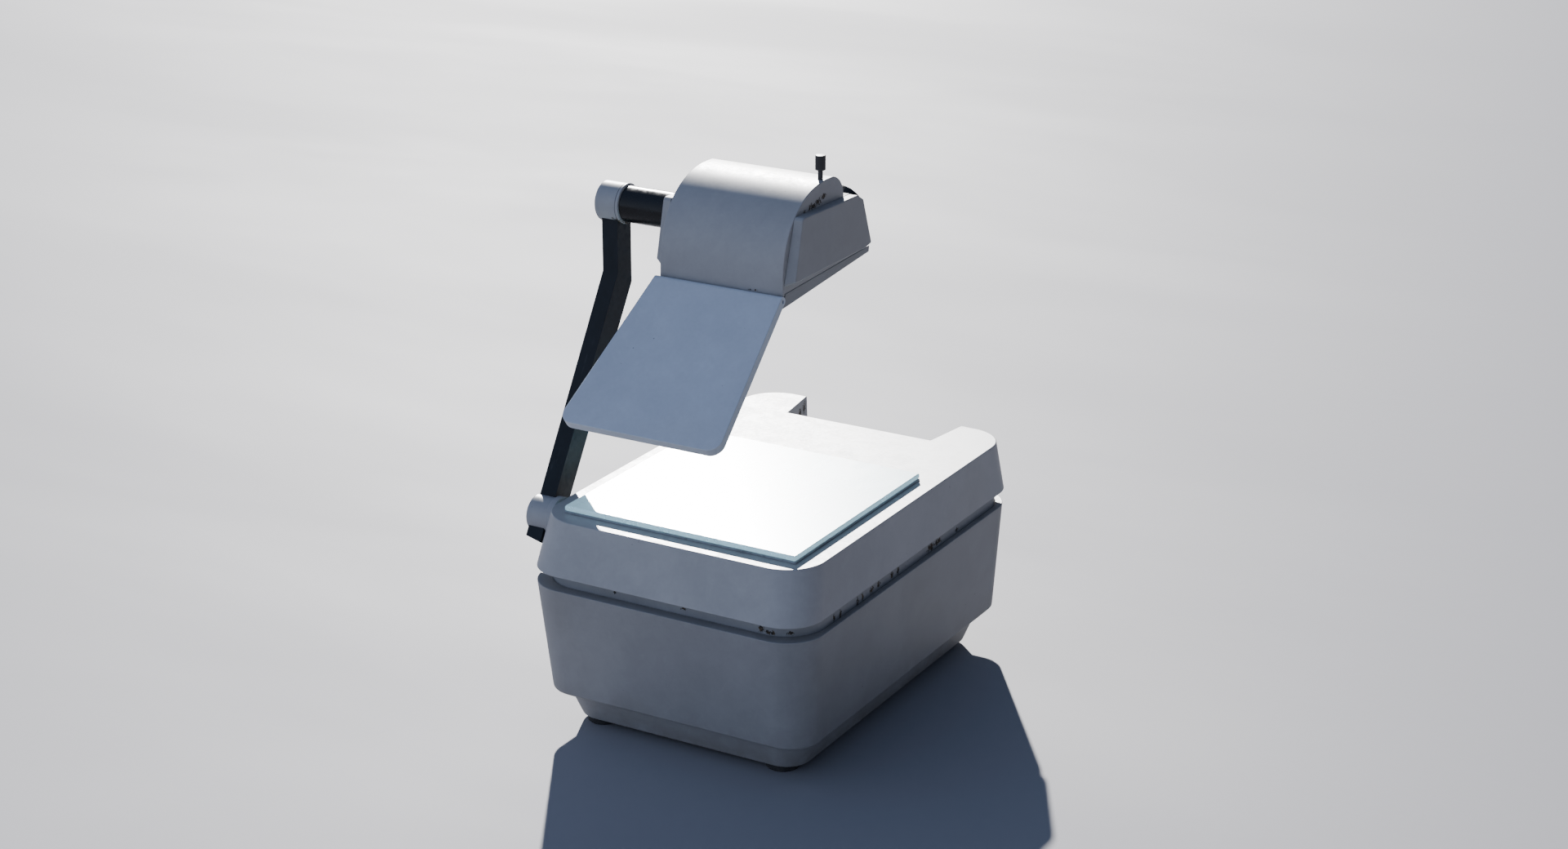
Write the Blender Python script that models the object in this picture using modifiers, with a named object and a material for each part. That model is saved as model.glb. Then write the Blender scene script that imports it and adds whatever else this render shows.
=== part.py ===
"""Overhead projector with a folding side arm, a closed projection head and a glare flap.

Standalone Blender 4.5 script: metres, +Z up, the operator's side faces -Y.
Every position below is written in the base's own millimetres (X = 0 on the
base's centre plane, Y = 0 at mid depth, Z = 0 on the table), and the finished
objects are moved by SHIFT so that the origin is under the middle of the whole
machine's box.
"""

import math

import bmesh
import bpy
from mathutils import Matrix, Vector

MM = 0.001

# ---------------------------------------------------------------- dimensions
SHIFT = (13.05, 15.6, 0.0)  # base frame to part frame, mm

GAP = 0.3  # between pieces that touch

# casing levels (height, half width, front, rear, corner radius)
TRAY_BOTTOM = (6.3, 130.1, -189.0, 189.8, 25.7)
TRAY_TOP = (38.2, 140.7, -200.5, 203.5, 29.0)
LOWER_BOTTOM = (38.5, 151.3, -213.6, 220.0, 31.5)
LOWER_TOP = (159.2, 160.2, -230.3, 227.7, 40.5)
GROOVE = (152.4, -215.0, 226.4, 42.0)
UPPER_RIM = (173.8, 159.8, -230.2, 230.3, 39.3)
UPPER_TOP = (226.8, 152.4, -215.0, 226.4, 42.0)
CORNER_STEPS = 8
WALL = 3.0

# stage
GASKET = (131.6, -194.1, 61.1)
GLASS = (131.25, -193.7, 60.8)
STAGE_Y = -66.5
APERTURE = (121.5, -184.0, 51.0)

# recess in the rear of the upper casing
RECESS_FRONT_Y, RECESS_FRONT_HW, RECESS_REAR_HW = 170.5, 86.5, 94.8
RECESS_FLOOR = 184.0

# arm
ARM_X0, ARM_X1 = -180.9, -162.6
LOWER_PIVOT = (-168.1, 208.8)  # y, z
UPPER_PIVOT = (-26.8, 498.6)
LOWER_HUB_R, COLLAR_R, UPPER_HUB_R, TUBE_R = 18.7, 20.9, 20.8, 18.6
HUB_LEFT = -183.5
UPPER_HUB_LEFT = -186.3
COLLAR_FACE = -159.2
SPINDLE_R = 8.0

# head
HEAD_HW, COVER_X, HEAD_WALL = 68.8, 78.1, 2.6
BARREL_C, BARREL_A, BARREL_B, BARREL_N = (-22.0, 470.0), 87.4, 84.0, 2.2
BACK_C, BACK_A, BACK_B = (-16.0, 530.0), 25.4, 24.0
DECK_Z, DECK_REAR = 528.6, 21.7
REAR_TOP, REAR_BOTTOM = (33.5, 522.0), (54.2, 465.8)
LENS_Y = STAGE_Y
FLAP_AXIS = (-114.0, 455.0)
FLAP_TILT = 35.6  # degrees below the horizontal
FLAP_LENGTH, FLAP_HW_TOP, FLAP_HW_END, FLAP_T = 183.0, 71.8, 88.7, 10.0
KNOB = (63.0, -27.0)

# --------------------------------------------------------------- scene set-up
for item in list(bpy.data.objects):
    bpy.data.objects.remove(item, do_unlink=True)
for old in list(bpy.data.collections):
    bpy.data.collections.remove(old)

PARTS = bpy.data.collections.new("overhead_projector")
CUTTERS = bpy.data.collections.new("cutters")
bpy.context.scene.collection.children.link(PARTS)
bpy.context.scene.collection.children.link(CUTTERS)


def empty(name, location, parent=None):
    pivot = bpy.data.objects.new(name, None)
    pivot.empty_display_size = 0.02
    pivot.location = Vector(location) * MM
    pivot.hide_render = True
    PARTS.objects.link(pivot)
    if parent is not None:
        pivot.parent = parent
    return pivot


ROOT = empty("machine", SHIFT)
PIVOTS = {"root": (ROOT, Vector((0, 0, 0)))}


def add_pivot(name, at, parent):
    above, where = PIVOTS[parent]
    PIVOTS[name] = (empty(name + "_axis", Vector(at) - where, above), Vector(at))


add_pivot("arm", (-171.5, LOWER_PIVOT[0], LOWER_PIVOT[1]), "root")
add_pivot("head", (-120.0, UPPER_PIVOT[0], UPPER_PIVOT[1]), "arm")
add_pivot("flap", (0.0, FLAP_AXIS[0], FLAP_AXIS[1]), "head")
add_pivot("knob", (KNOB[0], KNOB[1], 560.0), "head")
add_pivot("lens", (0.0, LENS_Y, 455.0), "head")
add_pivot("rocker", (62.0, 219.5, 96.0), "root")
add_pivot("rotor", (52.0, 128.0, 74.0), "root")

# ------------------------------------------------------------------ materials


def material(name, rgb, rough, metal=0.0, transmission=0.0):
    mat = bpy.data.materials.new(name)
    mat.use_nodes = True
    shader = mat.node_tree.nodes["Principled BSDF"]
    shader.inputs["Base Color"].default_value = (*rgb, 1.0)
    shader.inputs["Roughness"].default_value = rough
    shader.inputs["Metallic"].default_value = metal
    shader.inputs["Transmission Weight"].default_value = transmission
    mat.diffuse_color = (*rgb, 1.0)
    return mat


SHELL = ((0.62, 0.62, 0.63), 0.55)
PALE = {
    "casing": SHELL,
    "inner": ((0.36, 0.37, 0.39), 0.6),
    "arm": ((0.018, 0.026, 0.036), 0.42),
    "tube": ((0.008, 0.008, 0.01), 0.18),
    "rubber": ((0.012, 0.012, 0.013), 0.8),
    "glass": ((0.86, 0.95, 0.96), 0.06),
    "steel": ((0.45, 0.45, 0.46), 0.35),
    "black": ((0.02, 0.02, 0.022), 0.45),
    "flap": ((0.4, 0.46, 0.54), 0.5),
    "copper": ((0.5, 0.2, 0.08), 0.4),
    "ceramic": ((0.75, 0.72, 0.66), 0.6),
    "mirror": ((0.85, 0.87, 0.88), 0.04),
}
METALS = {"steel", "mirror", "copper"}

# -------------------------------------------------------------------- helpers


def outline(hw, front, rear, radius, steps=CORNER_STEPS):
    """Rounded rectangle, anticlockwise from the front right corner."""
    points = []
    for cx, cy, start in (
        (hw - radius, front + radius, -90),
        (hw - radius, rear - radius, 0),
        (radius - hw, rear - radius, 90),
        (radius - hw, front + radius, 180),
    ):
        for k in range(steps + 1):
            a = math.radians(start + 90.0 * k / steps)
            points.append((cx + radius * math.cos(a), cy + radius * math.sin(a)))
    return points


def level(spec, inset=0.0, z=None):
    """A casing level as points at its height, pulled in by inset."""
    height, hw, front, rear, radius = spec
    ring = outline(hw - inset, front + inset, rear - inset, max(radius - inset, 2.0))
    return [(x, y, height if z is None else z) for x, y in ring]


def between(low, high, z):
    t = (z - low[0]) / (high[0] - low[0])
    return tuple(a + (b - a) * t for a, b in zip(low, high))


def add(name, mesh, finish, body="root", smooth=None):
    obj = bpy.data.objects.new(name, mesh)
    rgb, rough = PALE[finish]
    mesh.materials.clear()
    mesh.materials.append(
        material(name, rgb, rough, 1.0 if finish in METALS else 0.0, 0.9 if finish == "glass" else 0.0)
    )
    PARTS.objects.link(obj)
    pivot, at = PIVOTS[body]
    obj.parent = pivot
    # the mesh was written in base millimetres: bring it to the pivot
    mesh.transform(Matrix.Scale(MM, 4) @ Matrix.Translation(-at))
    if smooth is not None:
        mesh.shade_smooth()
        mesh.set_sharp_from_angle(angle=math.radians(smooth))
    return obj


def mesh_from(bm, name):
    bmesh.ops.recalc_face_normals(bm, faces=bm.faces)
    mesh = bpy.data.meshes.new(name)
    bm.to_mesh(mesh)
    bm.free()
    return mesh


def loft(name, stations, ring=False):
    """Skin through stations of equally many points; ring joins the last to the first."""
    bm = bmesh.new()
    rows = [[bm.verts.new(p) for p in station] for station in stations]
    count = len(rows[0])
    pairs = list(zip(rows, rows[1:]))
    if ring:
        pairs.append((rows[-1], rows[0]))
    for low, high in pairs:
        for i in range(count):
            j = (i + 1) % count
            bm.faces.new((low[i], low[j], high[j], high[i]))
    if not ring:
        bm.faces.new(list(reversed(rows[0])))
        bm.faces.new(rows[-1])
    return mesh_from(bm, name)


def prism_x(name, profile, x0, x1):
    """Side profile (y, z) extruded along X."""
    return loft(name, [[(x0, y, z) for y, z in profile], [(x1, y, z) for y, z in profile]])


def prism_z(name, profile, z0, z1):
    return loft(name, [[(x, y, z0) for x, y in profile], [(x, y, z1) for x, y in profile]])


def prism_y(name, profile, y0, y1):
    """Front profile (x, z) extruded along Y."""
    return loft(name, [[(x, y0, z) for x, z in profile], [(x, y1, z) for x, z in profile]])


def box(name, low, high):
    bm = bmesh.new()
    bmesh.ops.create_cube(bm, size=1.0)
    size = [b - a for a, b in zip(low, high)]
    middle = [(a + b) / 2 for a, b in zip(low, high)]
    bmesh.ops.transform(
        bm, matrix=Matrix.Translation(middle) @ Matrix.Diagonal((*size, 1.0)), verts=bm.verts
    )
    return mesh_from(bm, name)


AXES = {
    "x": Matrix.Rotation(math.radians(90), 4, "Y"),
    "y": Matrix.Rotation(math.radians(-90), 4, "X"),
    "z": Matrix.Identity(4),
}


def rod(name, radius, start, end, axis, at, segments=32, radius2=None):
    """Cylinder from start to end along an axis through the point at."""
    bm = bmesh.new()
    bmesh.ops.create_cone(
        bm,
        cap_ends=True,
        segments=segments,
        radius1=radius,
        radius2=radius if radius2 is None else radius2,
        depth=abs(end - start),
    )
    bmesh.ops.transform(bm, matrix=AXES[axis], verts=bm.verts)
    centre = list(at)
    centre["xyz".index(axis)] = (start + end) / 2
    bmesh.ops.transform(bm, matrix=Matrix.Translation(centre), verts=bm.verts)
    return mesh_from(bm, name)


def turned(name, profile, finish, body, axis, at, steps=32, smooth=35.0, tilt=None):
    """Turned piece: (radius, height) points down the outer side, swept by a Screw modifier."""
    mesh = bpy.data.meshes.new(name)
    turn_sum = sum(a[0] * b[1] - b[0] * a[1] for a, b in zip(profile, profile[1:] + profile[:1]))
    if turn_sum > 0:  # the outer side has to run downwards
        profile = profile[::-1]
    on_axis = profile[0][0] == 0 and profile[-1][0] == 0
    edges = [(i, i + 1) for i in range(len(profile) - 1)]
    if not on_axis:
        edges.append((len(profile) - 1, 0))
    mesh.from_pydata([(r * MM, 0.0, h * MM) for r, h in profile], edges, [])
    obj = bpy.data.objects.new(name, mesh)
    rgb, rough = PALE[finish]
    mesh.materials.append(
        material(name, rgb, rough, 1.0 if finish in METALS else 0.0, 0.9 if finish == "glass" else 0.0)
    )
    PARTS.objects.link(obj)
    pivot, origin = PIVOTS[body]
    obj.parent = pivot
    turn = AXES[axis] if tilt is None else Matrix.Rotation(tilt, 4, "X")
    obj.matrix_local = Matrix.Translation((Vector(at) - origin) * MM) @ turn
    screw = obj.modifiers.new("turn", "SCREW")
    screw.axis = "Z"
    screw.angle = math.radians(360)
    screw.steps = steps
    screw.render_steps = steps
    screw.use_merge_vertices = True
    screw.merge_threshold = 0.000005
    screw.use_smooth_shade = True
    return obj


def hide(obj):
    obj.hide_render = True
    obj.display_type = "WIRE"
    for holder in list(obj.users_collection):
        holder.objects.unlink(obj)
    CUTTERS.objects.link(obj)


def cut(obj, mesh, body, operation="DIFFERENCE"):
    """Boolean of obj with a mesh given in base millimetres."""
    cutter = bpy.data.objects.new(obj.name + "_cut", mesh)
    PARTS.objects.link(cutter)
    pivot, at = PIVOTS[body]
    cutter.parent = pivot
    mesh.transform(Matrix.Scale(MM, 4) @ Matrix.Translation(-at))
    hide(cutter)
    boolean = obj.modifiers.new("cut", "BOOLEAN")
    boolean.operation = operation
    boolean.solver = "EXACT"
    boolean.object = cutter
    return cutter


def bevel(obj, width, segments=2, angle=40.0):
    edge = obj.modifiers.new("edge", "BEVEL")
    edge.width = width * MM
    edge.segments = segments
    edge.limit_method = "ANGLE"
    edge.angle_limit = math.radians(angle)
    edge.use_clamp_overlap = True
    return edge


def merged(name, meshes):
    """Several closed shapes that stay clear of each other, as one cutter."""
    bm = bmesh.new()
    for mesh in meshes:
        bm.from_mesh(mesh)
    return mesh_from(bm, name)


# ------------------------------------------------------------------ base: tray
tray = add(
    "bottom_tray",
    loft(
        "bottom_tray",
        [
            level(TRAY_BOTTOM, 1.2),
            level(TRAY_BOTTOM, 0.0, 7.5),
            level(TRAY_TOP),
            level(TRAY_TOP, WALL),
            level(between(TRAY_BOTTOM, TRAY_TOP, 9.5), WALL, 9.5),
        ],
    ),
    "casing",
    smooth=35,
)
# raised seats for the lamp bracket, the fan and the transformer, and the screw posts
seats = [
    box("seat", (-46.0, STAGE_Y - 43, 9.0), (46.0, STAGE_Y + 43, 12.5)),
    box("seat", (14.0, 117.0, 9.0), (90.0, 140.0, 12.5)),
    box("seat", (-98.0, 93.0, 9.0), (-26.0, 131.0, 12.5)),
]
for sx in (-1, 1):
    for y in (-120.0, 130.0):
        seats.append(rod("post", 6.0, 9.0, 15.5, "z", (sx * 108.0, y, 0), 20))
cut(tray, merged("tray_seats", seats), "root", "UNION")
slots = [box("slot", (34 + 9 * k, 70, 5), (38.5 + 9 * k, 106, 20)) for k in range(5)]
for sx in (-1, 1):
    for y in (-120.0, 130.0):
        slots.append(rod("hole", 2.2, 4, 20, "z", (sx * 108.0, y, 0), 16))
        slots.append(rod("sink", 4.6, 3, 8.0, "z", (sx * 108.0, y, 0), 16))
first = merged("tray_slots", slots[:5] + [s for s in slots[5:] if s.name.startswith("hole")])
cut(tray, first, "root")
second = merged("tray_sinks", [s for s in slots[5:] if s.name.startswith("sink")])
cut(tray, second, "root")

for index, (sx, y) in enumerate(((-1, -120.0), (1, -120.0), (-1, 130.0), (1, 130.0)), 1):
    turned(
        f"tray_screw_{index}",
        [(0, 16.5), (1.9, 16.5), (1.9, 7.7), (4.2, 7.7), (4.2, 7.0), (2.6, 6.4), (0, 6.4)],
        "steel",
        "root",
        "z",
        (sx * 108.0, y, 0),
        16,
    )

for side, sx in (("left", -1), ("right", 1)):
    for end, y in (("front", -170.5), ("rear", 171.0)):
        turned(
            f"foot_{end}_{side}",
            [(0, 6.0), (17.0, 6.0), (17.0, 3.0), (16.2, 0.8), (15.2, 0.0), (0, 0.0)],
            "rubber",
            "root",
            "z",
            (sx * (104.5 if y < 0 else 102.0), y, 0),
            28,
        )

# --------------------------------------------------------- base: lower casing
lower = add(
    "lower_casing",
    loft(
        "lower_casing",
        [
            level(LOWER_BOTTOM, 13.5),
            level(LOWER_BOTTOM, 4.0),
            level(LOWER_BOTTOM, 1.1, 39.6),
            level(between(LOWER_BOTTOM, LOWER_TOP, 42.5)),
            level(between(LOWER_BOTTOM, LOWER_TOP, 158.6)),
            level(LOWER_TOP, 0.5),
            [(x, y, 159.2) for x, y in outline(152.8, -215.4, 226.8, 42.4)],
            [(x, y, 150.5) for x, y in outline(152.8, -215.4, 225.5, 42.4)],
            level(between(LOWER_BOTTOM, LOWER_TOP, 147.5), WALL),
            level(between(LOWER_BOTTOM, LOWER_TOP, 42.5), WALL),
            level(LOWER_BOTTOM, 13.5, 42.5),
        ],
        ring=True,
    ),
    "casing",
    smooth=35,
)
# louvres on both sides near the rear and the cut-outs of the rear panel
louvres = []
for sx in (-1, 1):
    for k in range(6):
        z = 76 + 9 * k
        a, b = sorted((sx * 140.0, sx * 170.0))
        louvres.append(box("louvre", (a, 70.0, z), (b, 138.0, z + 4.0)))
cut(lower, merged("louvres", louvres), "root")
panel = [
    box("inlet_hole", (-89.8, 205, 82.2), (-58.2, 240, 109.8)),
    box("switch_hole", (47.7, 205, 82.7), (76.3, 240, 109.3)),
    rod("fuse_hole", 7.3, 205, 240, "y", (-32.0, 0, 96.0), 24),
]
cut(lower, merged("panel_holes", panel), "root")

frame_ring = [
    [(x, y, 150.9) for x, y in outline(GROOVE[0], GROOVE[1], GROOVE[2] - 1.6, GROOVE[3])],
    [(x, y, 179.4) for x, y in outline(GROOVE[0], GROOVE[1], GROOVE[2], GROOVE[3])],
    [(x, y, 179.4) for x, y in outline(GROOVE[0] - 3, GROOVE[1] + 3, GROOVE[2] - 3, GROOVE[3] - 3)],
    [(x, y, 150.9) for x, y in outline(GROOVE[0] - 3, GROOVE[1] + 3, GROOVE[2] - 4.6, GROOVE[3] - 3)],
]
add("seal_frame", loft("seal_frame", frame_ring, ring=True), "inner", smooth=35)

# --------------------------------------------------------- base: upper casing
UPPER_SHOULDER = between(UPPER_RIM, UPPER_TOP, 223.6)
top_casing = add(
    "top_casing",
    loft(
        "top_casing",
        [
            level(UPPER_RIM, 0.5),
            level(UPPER_RIM, 0.0, 174.5),
            level(UPPER_SHOULDER),
            level(UPPER_TOP, 0.25, 225.5),
            level(UPPER_TOP, 1.0, 226.45),
            level(UPPER_TOP, 2.4),
        ],
    ),
    "casing",
    smooth=35,
)


def recess_plan(grow, rear):
    wide = RECESS_REAR_HW + (rear - 226.6) * 0.145
    return [
        (-RECESS_FRONT_HW - grow, RECESS_FRONT_Y - grow),
        (RECESS_FRONT_HW + grow, RECESS_FRONT_Y - grow),
        (wide + grow, rear),
        (-wide - grow, rear),
    ]


void = loft(
    "void",
    [
        [(x, y, 160.0) for x, y in outline(GROOVE[0] + 0.4, GROOVE[1] - 0.4, GROOVE[2] + 0.4, GROOVE[3] + 0.4)],
        [(x, y, 179.9) for x, y in outline(GROOVE[0] + 0.4, GROOVE[1] - 0.4, GROOVE[2] + 0.4, GROOVE[3] + 0.4)],
        [(x, y, 182.5) for x, y in outline(149.8, -212.4, 223.6, 39.0)],
        [(x, y, 223.6) for x, y in outline(149.2, -211.8, 223.0, 38.6)],
    ],
)
void_object = cut(top_casing, void, "root")
# the recess keeps its own walls and floor, so they are left out of the void
keep = cut(void_object, prism_z("keep", recess_plan(3.0, 236.0), 180.4, 240.0), "root")
cut(top_casing, prism_z("recess", recess_plan(0.0, 240.0), RECESS_FLOOR, 240.0), "root")
cut(
    top_casing,
    prism_z("aperture", outline(APERTURE[0], APERTURE[1], APERTURE[2], 4.0, 2), 215.0, 240.0),
    "root",
)
cut(top_casing, box("grille_hole", (-74.4, 181.6, 176.0), (74.4, 212.4, 190.0)), "root")
cut(
    top_casing,
    rod("pivot_pocket", COLLAR_R + GAP, -175.0, -151.9, "x", (0, *LOWER_PIVOT), 48),
    "root",
)
cut(
    top_casing,
    rod("pivot_hole", SPINDLE_R + 0.4, -160.0, -140.0, "x", (0, *LOWER_PIVOT), 32),
    "root",
)

grille = add("exhaust_grille", box("exhaust_grille", (-74.0, 182.0, 180.6), (74.0, 212.0, 184.6)), "black")
cut(
    grille,
    merged("grille_slots", [box("s", (-68.0 + 10 * k, 186.0, 170.0), (-62.0 + 10 * k, 208.0, 195.0)) for k in range(14)]),
    "root",
)

# ----------------------------------------------------------------- base: stage
gasket = [
    [(x, y, 227.1) for x, y in outline(GASKET[0], GASKET[1], GASKET[2], 2.0, 2)],
    [(x, y, 229.0) for x, y in outline(GASKET[0], GASKET[1], GASKET[2], 2.0, 2)],
    [(x, y, 229.0) for x, y in outline(GASKET[0] - 9, GASKET[1] + 9, GASKET[2] - 9, 2.0, 2)],
    [(x, y, 227.1) for x, y in outline(GASKET[0] - 9, GASKET[1] + 9, GASKET[2] - 9, 2.0, 2)],
]
add("stage_gasket", loft("stage_gasket", gasket, ring=True), "rubber")
glass = add(
    "stage_glass",
    prism_z("stage_glass", outline(GLASS[0], GLASS[1], GLASS[2], 1.6, 2), 229.3, 234.6),
    "glass",
)
bevel(glass, 0.6, 1, 60)
add("fresnel_lens", box("fresnel_lens", (-126.0, -190.0, 220.0), (126.0, 57.0, 223.2)), "glass")
retainer = [
    [(x, y, 216.4) for x, y in outline(133.0, -197.0, 64.0, 3.0, 2)],
    [(x, y, 219.7) for x, y in outline(133.0, -197.0, 64.0, 3.0, 2)],
    [(x, y, 219.7) for x, y in outline(121.0, -185.0, 52.0, 3.0, 2)],
    [(x, y, 216.4) for x, y in outline(121.0, -185.0, 52.0, 3.0, 2)],
]
add("fresnel_retainer", loft("fresnel_retainer", retainer, ring=True), "steel")

# ------------------------------------------------------------------ base: lamp
bracket = add("lamp_bracket", box("lamp_bracket", (-48.0, STAGE_Y - 45, 12.9), (48.0, STAGE_Y + 45, 15.4)), "steel")
cut(bracket, box("post_a", (-48.0, STAGE_Y - 20, 15.0), (-45.5, STAGE_Y + 20, 118.0)), "root", "UNION")
cut(bracket, box("post_b", (45.5, STAGE_Y - 20, 15.0), (48.0, STAGE_Y + 20, 118.0)), "root", "UNION")
add("lamp_socket", box("lamp_socket", (-13.0, STAGE_Y - 9, 15.8), (13.0, STAGE_Y + 9, 36.0)), "ceramic")
turned(
    "reflector",
    [
        (36.0, 71.5), (37.2, 71.5), (35.0, 59.0), (28.5, 48.0), (18.0, 40.0), (9.0, 37.5),
        (9.0, 38.6), (17.2, 41.0), (27.4, 48.8), (33.8, 59.4),
    ],
    "mirror",
    "root",
    "z",
    (0, STAGE_Y, 0),
    24,
)
turned(
    "lamp",
    [(0, 72.0), (3.0, 71.0), (6.0, 67.0), (6.5, 60.0), (6.5, 52.0), (5.0, 48.0), (5.0, 36.4), (0, 36.4)],
    "glass",
    "root",
    "z",
    (0, STAGE_Y, 0),
    16,
)
turned(
    "condenser_lens",
    [(0, 112.0), (14.0, 110.5), (28.0, 106.0), (38.0, 99.5), (38.0, 97.0), (0, 97.0)],
    "glass",
    "root",
    "z",
    (0, STAGE_Y, 0),
    24,
)
turned(
    "condenser_holder",
    [(38.4, 100.0), (44.8, 100.0), (44.8, 93.6), (34.5, 93.6), (34.5, 96.6), (38.4, 96.6)],
    "steel",
    "root",
    "z",
    (0, STAGE_Y, 0),
    24,
)
turned(
    "thermal_cutout",
    [(0, 8.0), (8.0, 8.0), (8.0, 2.0), (11.0, 2.0), (11.0, 0.4), (0, 0.4)],
    "black",
    "root",
    "x",
    (48.0, STAGE_Y, 80.0),
    16,
)

# ------------------------------------------------------------------- base: fan
fan = add("fan_frame", box("fan_frame", (12.0, 116.0, 12.9), (92.0, 141.0, 128.0)), "black")
FAN = (52.0, 128.0, 74.0)
cut(fan, rod("fan_bore", 37.5, 110.0, 150.0, "y", FAN, 40), "root")
cut(fan, merged("struts", [box("strut", (14.0, 136.5, 71.5), (90.0, 140.0, 76.5))]), "root", "UNION")
turned(
    "fan_motor",
    [(0, 8.0), (13.0, 8.0), (13.0, 1.0), (14.0, 0.0), (0, 0.0)],
    "steel",
    "root",
    "y",
    (FAN[0], 128.0, FAN[2]),
    20,
)
rotor = turned(
    "fan_rotor",
    [(0, -0.4), (15.0, -0.4), (15.0, -10.0), (13.0, -11.0), (0, -11.0)],
    "black",
    "rotor",
    "y",
    (FAN[0], 128.0, FAN[2]),
    20,
)
for k in range(7):
    blade = box("blade", (12.0, -0.8, -5.5), (36.0, 0.8, 5.5))
    blade.transform(
        Matrix.Translation((FAN[0], 122.3, FAN[2]))
        @ Matrix.Rotation(2 * math.pi * k / 7, 4, "Y")
        @ Matrix.Rotation(math.radians(90), 4, "X")
        @ Matrix.Rotation(math.radians(38), 4, "X")
    )
    cut(rotor, blade, "rotor", "UNION")

# ----------------------------------------------------------- base: electricals
core = add("transformer_core", box("transformer_core", (-100.0, 92.0, 12.9), (-24.0, 132.0, 79.0)), "steel")
cut(
    core,
    merged(
        "windows",
        [
            box("w", (-87.0, 80.0, 28.0), (-74.0, 150.0, 66.0)),
            box("w", (-50.0, 80.0, 28.0), (-37.0, 150.0, 66.0)),
        ],
    ),
    "root",
)
coil = add("transformer_coil", box("transformer_coil", (-86.4, 80.0, 29.0), (-37.6, 144.0, 65.0)), "copper")
bevel(coil, 3.0, 2, 60)
cut(coil, box("coil_hole", (-74.4, 91.6, 20.0), (-49.6, 132.4, 80.0)), "root")

inlet = add("mains_inlet", box("mains_inlet", (-89.4, 203.0, 82.6), (-58.6, 223.0, 109.4)), "black")
cut(inlet, box("flange", (-95.0, 225.2, 78.0), (-53.0, 228.0, 114.0)), "root", "UNION")
cut(inlet, box("bridge", (-88.0, 220.0, 84.0), (-60.0, 226.5, 108.0)), "root", "UNION")
cut(inlet, box("socket", (-86.0, 207.0, 87.5), (-62.0, 235.0, 104.5)), "root")
cut(
    inlet,
    merged(
        "pins",
        [
            box("pin", (-82.5, 205.0, 92.0), (-80.5, 222.0, 96.0)),
            box("pin", (-75.0, 205.0, 97.0), (-73.0, 222.0, 101.0)),
            box("pin", (-67.5, 205.0, 92.0), (-65.5, 222.0, 96.0)),
        ],
    ),
    "root",
    "UNION",
)
fuse = turned(
    "fuse_holder",
    [(0, 9.0), (6.5, 9.0), (7.5, 8.0), (7.5, 4.2), (9.5, 4.2), (9.5, 2.6), (6.9, 2.6), (6.9, -16.0), (0, -16.0)],
    "black",
    "root",
    "y",
    (-32.0, 223.0, 96.0),
    24,
)
cut(fuse, box("driver_slot", (-37.0, 230.6, 95.2), (-27.0, 240.0, 96.8)), "root")

bezel = add("switch_bezel", box("switch_bezel", (48.1, 207.0, 83.1), (75.9, 226.5, 108.9)), "black")
cut(bezel, box("bezel_flange", (44.5, 225.1, 80.0), (79.5, 228.0, 112.0)), "root", "UNION")
cut(bezel, box("bezel_well", (51.0, 210.5, 86.0), (73.0, 240.0, 106.0)), "root")
rocker_profile = []
for k in range(9):
    a = math.radians(-62 + 124 * k / 8)
    rocker_profile.append((222.2 + 6.0 * math.cos(a) + 1.9 * abs(math.sin(a)) ** 2, 96.0 + 9.2 * math.sin(a)))
rocker_profile += [(217.5, 101.5), (215.5, 96.0), (217.5, 90.5)]
rocker = add("power_rocker", prism_x("power_rocker", rocker_profile, 51.5, 72.5), "black", "rocker")

# ------------------------------------------------------------------ arm: pivot
PY, PZ = LOWER_PIVOT
turned(
    "pivot_collar",
    [(COLLAR_R, 6.9), (COLLAR_R, 0.8), (COLLAR_R - 0.8, 0.0), (SPINDLE_R + 0.4, 0.0), (SPINDLE_R + 0.4, 6.9)],
    "casing",
    "root",
    "x",
    (COLLAR_FACE, PY, PZ),
    48,
)
turned(
    "pivot_shaft",
    [(0, -135.0), (SPINDLE_R, -135.0), (SPINDLE_R, -178.5), (0, -178.5)],
    "steel",
    "root",
    "x",
    (0, PY, PZ),
    24,
)
plate = add("pivot_bracket", box("pivot_bracket", (-148.4, PY - 10, 186.0), (-145.9, PY + 40, 221.0)), "steel")
cut(plate, rod("bracket_hole", SPINDLE_R + 0.3, -155, -140, "x", (0, PY, PZ), 24), "root")
nut = add("pivot_nut", rod("pivot_nut", 13.0, -145.6, -137.0, "x", (0, PY, PZ), 6), "steel")
cut(nut, rod("nut_hole", SPINDLE_R + 0.3, -150, -130, "x", (0, PY, PZ), 24), "root")

# -------------------------------------------------------------------- arm: bar
# side view of the bar: lower leg leaning back, upper leg upright
BAR = [
    (-190.4, 192.0),
    (-178.5, 211.5),
    (-171.5, 214.5),
    (-41.6, 428.9),
    (-41.3, 509.5),
    (-16.6, 509.5),
    (-16.7, 413.6),
    (-141.3, 212.8),
    (-155.0, 198.4),
    (-167.4, 178.0),
]


def grow(profile, by):
    """Offset a side profile outwards, corner by corner."""
    area = sum(a[0] * b[1] - b[0] * a[1] for a, b in zip(profile, profile[1:] + profile[:1]))
    sign = 1 if area > 0 else -1
    out = []
    for i, here in enumerate(profile):
        before, after = profile[i - 1], profile[(i + 1) % len(profile)]
        d1 = Vector((here[0] - before[0], here[1] - before[1])).normalized()
        d2 = Vector((after[0] - here[0], after[1] - here[1])).normalized()
        n1, n2 = Vector((d1.y, -d1.x)) * sign, Vector((d2.y, -d2.x)) * sign
        push = (n1 + n2) / (1 + n1.dot(n2))
        out.append((here[0] + push.x * by, here[1] + push.y * by))
    return out


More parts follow.
